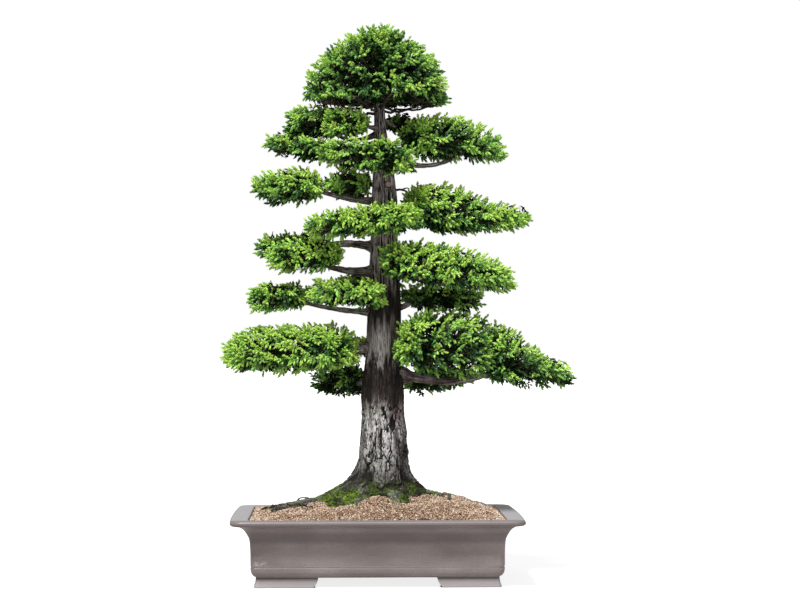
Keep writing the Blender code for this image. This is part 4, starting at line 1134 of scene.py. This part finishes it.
def make_scars(look):
    """The round cut on the trunk's front, and the dry twig to its right."""
    heap = BarkHeap()
    middle = trunk_middle(SCAR_HEIGHT)
    direction = heading_of(math.radians(284))
    path = middle + np.linspace(0.012, 0.0345, 8)[:, None] * direction
    radii = (0.0105, 0.0100, 0.0092, 0.0084, 0.0078, 0.0076, 0.0074, 0.0066)
    heap.add_limb(path, radii, 16, 140, 0.14)
    heap.add_limb(resampled(DRY_TWIG, 12), np.linspace(0.0034, 0.0012, 12), 7, 150)
    heap.add_limb(resampled(DRY_FORK, 7), np.linspace(0.0020, 0.0009, 7), 6, 160)
    heap.object("cut_stubs", look)
    count = 14
    centre = middle + 0.0347 * direction
    axes = np.array(((-direction[1], direction[0], 0.0), UP))
    rim = centre + 0.0056 * circle(count) @ axes
    face = Heap()
    fan = [(k, (k + 1) % count, count) for k in range(count)]
    face.add([*rim, centre + 0.0004 * direction], fan)
    nodes = Nodes("cut_wood")
    wood = nodes.mix(nodes.noise(700.0), (0.300, 0.190, 0.150), (0.520, 0.380, 0.320))
    pieces_from("cut_face", face, nodes.done(wood, 0.85))


def make_moss():
    """Short green tufts where the bark is mossed."""
    rng = np.random.default_rng([SEED, 71])
    height = rng.uniform(GROUND_CUT, MOSS_TOP, MOSS_TUFTS)
    angle = rng.uniform(0, 2 * math.pi, MOSS_TUFTS)
    roots = bark_points(height, angle, bark_relief(height, angle)[0])
    above = roots[:, 2] > soil_top(roots[:, 0], roots[:, 1]) - 0.001
    mossed = moss_share(roots) + 0.35 * noise(roots, 0.009, 43)
    keep = above & (mossed > rng.uniform(0.50, 1.1, MOSS_TUFTS))
    roots, angle = roots[keep], angle[keep]
    lean = unit(stacked(np.cos(angle), np.sin(angle), np.full(len(angle), 1.1)))
    lean = unit(lean + rng.normal(scale=0.45, size=lean.shape))
    size = rng.uniform(0.0012, 0.0032, (len(roots), 1))
    across = unit(np.cross(lean, rng.normal(size=lean.shape))) * size * 0.42
    other = unit(np.cross(lean, across)) * size * 0.42
    low = roots - across * 0.5
    points = np.stack([roots + across, low + other, low - other, roots + lean * size], axis=1)
    bright = rng.random(len(roots)) + 0.5 * noise(roots, 0.012, 44) >= 0.5
    for (name, colour), chosen in zip(MOSSES, (~bright, bright)):
        heap = Heap()
        heap.add(points[chosen], ((0, 1, 3), (1, 2, 3), (2, 0, 3)))
        pieces_from(name, heap, plain_look(name, colour, 0.9, 0.1))


# --- Limbs and foliage ---


def bowed(start, end, rise, rng, steps=9, wander=0.0022):
    """A limb's path from start to end, sagging first and then rising."""
    shares = np.linspace(0, 1, steps)[:, None]
    path = start + shares * (end - start)
    path[:, 2] += rise * (shares[:, 0] ** 2 - shares[:, 0])
    path[1:-1] += rng.normal(scale=wander, size=(steps - 2, 3))
    return path


def dome_limbs(pad, rng):
    """Ribs that spread from the top of the trunk like an umbrella, and others above them."""
    limbs = []
    for rib in range(DOME_RIBS):
        turn = 2 * math.pi * (rib + 0.25 * rng.random()) / DOME_RIBS
        rim = on_pad(pad, heading_of(turn, -0.28), 0.86)
        rim[2] = 1.004 + 0.008 * rng.random()
        start = trunk_middle(0.992 + 0.012 * (rib % 3))
        limbs.append((bowed(start, rim, 0.022, rng, 14, 0.0018), 0.0036, 0.0011))
    for rib in range(DOME_INNER_RIBS):
        turn = 2 * math.pi * (rib * 0.618 + 0.1)
        end = on_pad(pad, heading_of(turn, 0.10 + 0.11 * rib), 0.62)
        start = trunk_middle(1.020 + 0.009 * rib)
        limbs.append((bowed(start, end, 0.020, rng, 12, 0.0020), 0.0034, 0.0012))
    return limbs


def main_limb(pad, bough, entry, rng):
    """The bough's own way on through its pad, smoothed."""
    side = pad_axes(pad)[2]
    ends = [entry]
    for share in (0.55, 0.75, 0.93):
        if share > bough.entry + 0.08:
            place = spine(pad, share)
            place[2] -= pad.drop * (0.62 - 0.42 * share)
            ends.append((place + side * rng.normal(scale=0.10) * pad.half_width)[None])
    main = resampled(np.concatenate(ends), 22)
    for axis in range(3):
        padded = np.pad(main[:, axis], 2, mode="edge")
        main[1:-1, axis] = np.convolve(padded, np.ones(5) / 5, mode="valid")[1:-1]
    return main


def pad_limbs(pad, bough, rng):
    """The pad's main limb and its side limbs: (path, thick, thin) each."""
    points, enters = bough_curve(bough)
    if pad.name in FROM_TRUNK:
        enters = 1
    main = main_limb(pad, bough, points[enters:], rng)
    thick = max(bough.tip, 0.0035)
    limbs = [(main, thick, 0.0014)]
    back = main[2] + 0.85 * (spine(pad, 0.06) - main[2])
    if np.linalg.norm(back - main[2]) > 0.05 and pad.name not in FROM_TRUNK:
        limbs.append((bowed(main[2], back, 0.006, rng, wander=0.0012), thick * 0.45, 0.0013))
    along, length, _ = pad_axes(pad)
    count = max(4, int(length / 0.021))
    for number in range(count):
        share = 0.05 + 0.88 * number / count
        start = main[int(share * (len(main) - 1))]
        for sign in (1, -1):
            lead, reached = rng.uniform(0.25, 0.75), rng.uniform(0.50, 0.68)
            heading = np.array([lead * (2 * share - 0.75), sign, rng.uniform(-0.35, 0.15)])
            target = on_pad(pad, heading, reached) + along * 0.10
            if np.linalg.norm(target - start) > 0.018 and reach(pad, target) < 0.95:
                path = bowed(start, target, 0.012, rng)
                girth = thick * rng.uniform(0.34, 0.5) * (1.1 - 0.5 * share)
                limbs.append((path, girth, 0.0011))
    return limbs


def trims_of(pad):
    return [trim for trim in TRIMS if trim.pad == pad.name]


def drawn_in(pad, directions):
    """How far the pad's trims draw its sprays in, in each direction."""
    depth = np.zeros(len(directions))
    for trim in trims_of(pad):
        middle = unit((trim.along, 0, trim.up))
        off = np.linalg.norm((directions - middle) * (1, 0.45, 1), axis=1)
        depth = depth + trim.depth * np.exp(-((off / trim.width) ** 2))
    return depth


def skin_area(pad):
    rng = np.random.default_rng([SEED, 5])
    tries = unit(rng.normal(size=(3000, 3)))
    step = 0.02
    first = unit(np.cross(tries, (0.3, 0.5, 0.8)))
    places = on_pad(pad, tries)
    edges = [on_pad(pad, tries + way * step) - places for way in (first, np.cross(tries, first))]
    return float(np.linalg.norm(np.cross(*edges), axis=1).mean() / step**2 * 4 * math.pi)


def even_order(places, count):
    """Indices of places that lie far from one another; the first few already cover them all."""
    chosen = [0]
    away = np.linalg.norm(places - places[0], axis=1)
    for _ in range(min(count, len(places)) - 1):
        chosen.append(int(away.argmax()))
        away = np.minimum(away, np.linalg.norm(places - places[chosen[-1]], axis=1))
    return np.array(chosen)


def pad_sprays(pad, rng):
    """Roots, tips, facings and tones of the pad's sprays, in clumps whose rims sink and darken with painted
    shade; sprays that face up get painted light.
    """
    area = skin_area(pad)
    directions = unit(rng.normal(size=(int(4 * area / SPRAY_AREA), 3)))
    places = on_pad(pad, directions)
    order = even_order(places, int(area / SPRAY_AREA))
    centres = places[order[: max(5, int(area / CLUMP_SPACING**2))]]
    order = order[(directions[order, 2] > -0.6) | (rng.random(len(order)) < 0.7)]
    directions, places = directions[order], places[order]
    count = len(places)
    normal = outward(pad, places)
    along, length, _ = pad_axes(pad)
    gaps = np.linalg.norm(places[:, None] - centres[None], axis=2)
    nearest = gaps.argmin(axis=1)
    fringe = np.clip(gaps.min(axis=1) / (0.62 * CLUMP_SPACING), 0, 1) ** 1.6
    clump_tone = rng.normal(scale=CLUMP_TONE, size=len(centres))[nearest]
    clump_lean = rng.normal(scale=CLUMP_LEAN, size=(len(centres), 3))[nearest]
    depth = CLUMP_DEPTH * fringe + rng.uniform(-0.001, 0.005, count) + drawn_in(pad, directions)
    flow = along / length * np.sign(directions[:, :1] + 0.35)
    radial = unit((places - (0.016, 0.0, 0.0)) * (1, 1, 0))
    away = (places - centres[nearest]) / CLUMP_SPACING
    upness = normal[:, 2:]
    lean = normal * 0.60 + flow * 0.20 + radial * 0.42 + away * 0.55 + clump_lean
    lean = lean + UP * np.where(upness > 0, 0.30, 0.02)
    lean = unit(lean + rng.normal(scale=0.16, size=lean.shape))
    lean = unit(lean + normal * np.maximum(0, 0.35 - (lean * normal).sum(-1, keepdims=True)))
    size = min(SPRAY_LENGTH, 0.58 * (pad.rise + pad.drop)) * rng.uniform(0.78, 1.12, (count, 1))
    face = np.cross(lean, np.cross(normal + 0.7 * UP, lean)) + 0.5 * rng.normal(size=lean.shape)
    # the tone holds painted light: lighter for sprays that face up, darker at clump rims, and darker still for
    # inner sprays
    tone = pad.tone + clump_tone + TOP_TONE * upness[:, 0] + FRINGE_TONE * fringe
    tone = tone + 0.10 * rng.normal(size=count)
    inner = rng.random(count) < INNER_SHARE
    sunk = min(1.0, 0.35 * (pad.rise + pad.drop) / 0.028) * rng.uniform(0.012, 0.028, count)
    tip = places - normal * (depth + sunk * inner)[:, None]
    return tip - lean * size, tip, unit(face), tone + INNER_TONE * inner


def core_shoots(pad, rng):
    """Dark shoots within the pad, old needles in painted shade, that close the view through it."""
    count = int(CORE_SHOOTS * (DOME_CORE if pad.name == "apex_dome" else 1.0) * skin_area(pad))
    directions = unit(rng.normal(size=(count, 3)))
    places = on_pad(pad, directions)
    drawn = outward(pad, places) * np.maximum(drawn_in(pad, directions), 0)[:, None]
    middle = spine(pad, pad.peak)
    outermost = 1 - CORE_DEPTH / (0.5 * (pad.rise + pad.drop))
    shares = rng.uniform(0.45, 0.97, (count, 1)) * outermost
    places = middle + (places - drawn - middle) * shares
    heading = unit(0.5 * outward(pad, places) + rng.normal(scale=0.6, size=places.shape))
    size = SHOOT_LENGTH * rng.uniform(1.2, 1.8, count)
    ends = places + heading * size[:, None]
    keep = trunk_clear(places) & trunk_clear(ends, 0.002)
    keep &= reach(pad, ends + 1.3 * drawn) < outermost
    places, heading, size = places[keep], heading[keep], size[keep]
    return places, heading, unit(rng.normal(size=places.shape)), size


def shoot_template(rng, sides, body, needles, spread):
    """One plump needle shoot along +X, of unit length: a spindle and needles pressed forward."""
    points = []
    faces = []
    for ahead, radius in body:
        twist = rng.uniform(0, 1.5)
        for side in range(sides):
            turn = 2 * math.pi * side / sides + twist
            points.append((ahead, radius * math.cos(turn), radius * math.sin(turn)))
    faces = tube_faces(len(body), sides, capped=False).tolist()
    top = len(points)
    last = top - sides
    faces += [(last + side, last + (side + 1) % sides, top) for side in range(sides)]
    points.append((1.0, 0.0, 0.0))
    turn = rng.uniform(0, 2 * math.pi)
    for share in np.arange(needles) / (needles - 1):
        turn += 2.4
        open_angle = math.radians(spread + rng.uniform(-6, 6) - 12 * share)
        long = rng.uniform(0.36, 0.44) * (1.0 - 0.15 * share)
        out = np.array([0.0, math.cos(turn), math.sin(turn)])
        aside = NEEDLE_WIDTH * np.array([0.0, -math.sin(turn), math.cos(turn)])
        base = np.array([0.03 + 0.60 * share, 0, 0]) + out * 0.105
        direction = np.array([math.cos(open_angle), 0, 0]) + out * math.sin(open_angle)
        middle = base + direction * long * 0.45 + out * 0.020
        first = len(points)
        points += [base, middle - aside, base + direction * long, middle + aside]
        faces += [(first, first + 1, first + 2), (first, first + 2, first + 3)]
    return np.array(points), np.array(faces)


def add_limbs(heap, pad, bough, number, rng):
    """Adds the pad's limbs to the heap, and gives the joints that twigs may grow from."""
    limbs = pad_limbs(pad, bough, rng) if bough else dome_limbs(pad, rng)
    joints = []
    for order, (path, thick, thin) in enumerate(limbs):
        path = resampled(path, max(8, int(len(path) * 1.3)))
        radii = np.linspace(1, 0, len(path)) ** 0.8 * (thick - thin) + thin
        sides = 8 if thick > 0.004 else 5
        # all but a bough's main limb get a near-black tone: painted shade inside the pad
        tone = 0.45 if order == 0 and bough else 0.06
        heap.add_limb(path, radii, sides, 300 + number * 40 + order, 0.20, tone)
        joints.append(resampled(path, 16)[2:])
    return np.concatenate(joints)


def add_spray_shoots(shoots, pad, furthest, root, lean, size, face, tone, rng):
    """Adds each spray's shoots, and gives how many each has."""
    aside = unit(np.cross(face, lean))
    count = len(root)
    leafed = np.zeros(count, int)
    for ahead, angle, long in SPRAY_PLAN:
        angles = np.radians(angle + rng.normal(scale=9, size=(count, 1)))
        lifted = rng.normal(scale=0.16, size=(count, 1)) + 0.10
        direction = lean * np.cos(angles) + aside * np.sin(angles) + face * lifted
        direction = unit(direction - 0.10 * UP)
        shoot_size = SHOOT_LENGTH * long * rng.uniform(0.80, 1.22, count)
        reached = size * ahead - (SHOOT_LENGTH * 0.9 if ahead == 1.0 else 0.010)
        start = root + lean * np.maximum(reached, 0.002)[:, None]
        end = start + direction * shoot_size[:, None]
        fine = (reach(pad, end) < furthest + 0.02) & trunk_clear(end) & trunk_clear(start)
        leafed += fine
        shade = tone + TIP_TONE * (ahead - 0.66) + 0.11 * rng.normal(size=count)
        kinds = np.where(fine, np.digitize(shade, TONE_STEPS), -1)
        for kind in range(len(GREENS)):
            chosen = kinds == kind
            if chosen.any():
                values = (start, direction, face, shoot_size)
                shoots[kind].append([value[chosen] for value in values])
    return leafed


def add_twigs(heap, pad, joint, root, lean, size, leafed, rng):
    """Adds a bent twig from each joint to its spray, and on through the spray."""
    gap = np.linalg.norm(root - joint, axis=1, keepdims=True)
    sagging = rng.normal(scale=0.0025, size=root.shape) - 0.10 * UP * gap
    bend = (root + joint) / 2
    bend = bend + sagging * (reach(pad, bend + 2 * sagging) < 0.92)[:, None]
    paths = np.stack([joint, bend, root, root + lean * size[:, None] * 0.80], axis=1)
    paths = paths[leafed > 1]
    radii = np.array((0.00125, 0.00110, 0.00088, 0.00045)) * rng.uniform(0.8, 1.35, (len(paths), 1))
    heap.add(tube_points(paths, radii, 3), tube_faces(4, 3, capped=False))


def grow_pad(number, pad, limbs_heap, twigs, shoots):
    """One pad: its limbs, the twigs that grow from them, and the twigs' shoots."""
    rng = np.random.default_rng([SEED, 200 + number])
    bough = next((row for row in BOUGHS if row.pad == pad.name), None)
    joints = add_limbs(limbs_heap, pad, bough, number, rng)
    root, tip, face, tone = pad_sprays(pad, rng)
    # the inner shoots take the darkest green: old needles with painted shade
    shoots[0].append(core_shoots(pad, rng))
    beyond = 0.006 + max([0.0] + [-trim.depth for trim in trims_of(pad)])
    furthest = 1 + beyond / (0.5 * pad.half_width + 0.5 * pad.rise)
    keep = trunk_clear(root) & trunk_clear(tip) & (reach(pad, tip) < furthest)
    away = root[:, None] - joints[None]
    score = np.linalg.norm(away, axis=2) - 0.45 * (away * unit(tip - root)[:, None]).sum(-1)
    joint = joints[score.argmin(axis=1)]
    gap = np.linalg.norm(joint - tip, axis=1, keepdims=True)
    size = np.minimum(np.linalg.norm(tip - root, axis=1, keepdims=True), 0.85 * gap)
    within = tip + (joint - tip) / gap * size
    root = np.where((reach(pad, root) > 0.96)[:, None], within, root)
    keep &= np.linalg.norm(root - joint, axis=1) < LONGEST_TWIG
    root, tip, face, tone, joint = (values[keep] for values in (root, tip, face, tone, joint))
    lean = unit(tip - root)
    size = np.linalg.norm(tip - root, axis=1)
    leafed = add_spray_shoots(shoots, pad, furthest, root, lean, size, face, tone, rng)
    add_twigs(twigs, pad, joint, root, lean, size, leafed, rng)


def placed_shoots(template, start, direction, side, other, size):
    """Copies of the template: as long as each size, and less than that in girth."""
    ahead, aside, up = template.T[:, None, :, None]
    length = size[:, None, None]
    girth = np.sqrt(SHOOT_LENGTH * length)
    across = side[:, None] * aside + other[:, None] * up
    sag = -0.10 * ahead**2 * length * UP
    return start[:, None] + direction[:, None] * ahead * length + across * girth + sag


def make_foliage(bark):
    limbs_heap, twigs = BarkHeap(), Heap()
    shoots = [[] for _ in GREENS]
    for number, pad in enumerate(PADS):
        grow_pad(number, pad, limbs_heap, twigs, shoots)
    limbs_heap.object("inner_limbs", bark)
    pieces_from("twigs", twigs, twig_look())
    rng = np.random.default_rng([SEED, 91])
    body, plain_body = ((0.02, 0.100), (0.60, 0.205)), ((0.02, 0.090), (0.60, 0.200))
    full = [shoot_template(rng, 4, body, NEEDLES, 32) for _ in range(6)]
    plain = [shoot_template(rng, 3, plain_body, 3, 38) for _ in range(4)]
    for kind, (name, colour) in enumerate(GREENS):
        start, direction, face, size = (np.concatenate(values) for values in zip(*shoots[kind]))
        templates = plain if kind < PLAIN_KINDS else full
        pick = rng.integers(len(templates), size=len(start))
        side = unit(np.cross(face, direction))
        other = np.cross(direction, side)
        spin = rng.uniform(0, 2 * math.pi, (len(start), 1))
        cosine, sine = np.cos(spin), np.sin(spin)
        side, other = side * cosine + other * sine, other * cosine - side * sine
        heap = Heap()
        for number, (points, faces) in enumerate(templates):
            chosen = pick == number
            values = (value[chosen] for value in (start, direction, side, other, size))
            heap.add(placed_shoots(points, *values), faces)
        look = plain_look(name, colour, *((0.80, 0.08) if kind < DULL_KINDS else (0.52, 0.36)))
        pieces_from(name, heap, look)
    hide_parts(*[pad.name for pad in PADS])


def make_boughs(bark):
    """The bare limbs between trunk and masses."""
    heap = BarkHeap()
    names = []
    for number, bough in enumerate(BOUGHS):
        if bough.pad in FROM_TRUNK:
            continue
        names.append(bough.pad + "_bough")
        points, enters = bough_curve(bough)
        path = resampled(points[: min(enters + 4, len(points) - 1) + 1], 34)
        radii = np.linspace(bough.radius, bough.tip, 34)
        from_trunk = np.linalg.norm(path - path[0], axis=1) - trunk_radius(bough.height)
        radii = radii * (1 + 0.55 * np.exp(-np.maximum(from_trunk, 0) / 0.012))
        radii = radii * BOUGH_GIRTH.get(bough.pad, OTHER_GIRTH)
        tone = BOUGH_TONE.get(bough.pad, OTHER_TONE)
        heap.add_limb(path, radii, 14, 500 + 3 * number, 0.17, tone)
    piece = heap.object("bough_bark", bark)
    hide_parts(*[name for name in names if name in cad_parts])


# --- Stage ---


def camera_share(tree):
    return tree.nodes.new("ShaderNodeLightPath").outputs["Is Camera Ray"]


def make_stage():
    """A pale floor that runs into a white surround, as on a studio sweep."""
    mesh = bpy.data.meshes.new("floor")
    corners = [(FLOOR_HALF * x, FLOOR_HALF * y, 0) for x, y in ((-1, -1), (1, -1), (1, 1), (-1, 1))]
    mesh.from_pydata(corners, [], [(0, 1, 2, 3)])
    floor = linked("floor", mesh)
    floor.location = (0, 0, -0.0004)
    nodes = Nodes("floor_white")
    glow = nodes.times(camera_share(nodes.tree), FLOOR_GLOW)
    lit = {"Emission_Color": (1.0, 1.0, 1.0), "Emission_Strength": glow}
    mesh.materials.append(nodes.done((0.40, 0.40, 0.40), 0.9, 0.0, **lit))
    world = bpy.data.worlds.new("studio")
    bpy.context.scene.world = world
    world.use_nodes = True
    background = world.node_tree.nodes["Background"]
    background.inputs["Color"].default_value = (1.0, 1.0, 1.0, 1.0)
    shown = world.node_tree.nodes.new("ShaderNodeMapRange")
    shown.inputs["To Min"].default_value = SURROUND_LIGHT
    shown.inputs["To Max"].default_value = 1.0
    world.node_tree.links.new(camera_share(world.node_tree), shown.inputs["Value"])
    world.node_tree.links.new(shown.outputs[0], background.inputs["Strength"])


def pointed(obj, direction):
    obj.rotation_mode = "QUATERNION"
    obj.rotation_quaternion = Vector(direction).to_track_quat("-Z", "Y")


def make_lights():
    data = bpy.data.lights.new("key", "SUN")
    data.energy = KEY_POWER
    data.angle = math.radians(16)
    pointed(linked("key", data), KEY_DIRECTION)
    data = bpy.data.lights.new("fill", "AREA")
    data.shape = "DISK"
    data.size = FILL_SIZE
    data.energy = FILL_POWER
    fill = linked("fill", data)
    fill.location = FILL_PLACE
    fill.visible_camera = False
    pointed(fill, Vector(FILL_TARGET) - Vector(FILL_PLACE))


def make_camera():
    data = bpy.data.cameras.new("camera")
    data.lens = CAMERA_LENS
    data.sensor_width = 36.0
    data.clip_start = 0.1
    data.clip_end = 200.0
    camera = linked("camera", data)
    camera.location = Vector(CAMERA_PLACE) + Vector(OFFSET)
    yaw, pitch = math.radians(CAMERA_YAW), math.radians(CAMERA_PITCH)
    ahead = math.cos(pitch)
    pointed(camera, (math.sin(yaw) * ahead, math.cos(yaw) * ahead, math.sin(pitch)))
    bpy.context.scene.camera = camera


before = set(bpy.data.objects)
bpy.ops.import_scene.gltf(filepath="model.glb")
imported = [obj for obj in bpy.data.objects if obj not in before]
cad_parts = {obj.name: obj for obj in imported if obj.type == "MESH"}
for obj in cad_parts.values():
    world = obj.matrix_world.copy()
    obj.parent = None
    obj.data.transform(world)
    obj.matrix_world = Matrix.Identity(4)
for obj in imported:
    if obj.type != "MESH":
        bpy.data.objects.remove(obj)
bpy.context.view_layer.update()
POT_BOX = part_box("pot")
OFFSET = np.array([(POT_BOX[0][0] + POT_BOX[1][0]) / 2, (POT_BOX[0][1] + POT_BOX[1][1]) / 2, 0.0])
bpy.context.scene.view_settings.view_transform = "Standard"

make_camera()
make_stage()
make_lights()
make_pot()
make_soil_bed()
make_grains()
BARK = bark_look()
make_trunk(BARK)
make_roots(BARK)
make_scars(BARK)
make_moss()
make_boughs(BARK)
make_foliage(BARK)
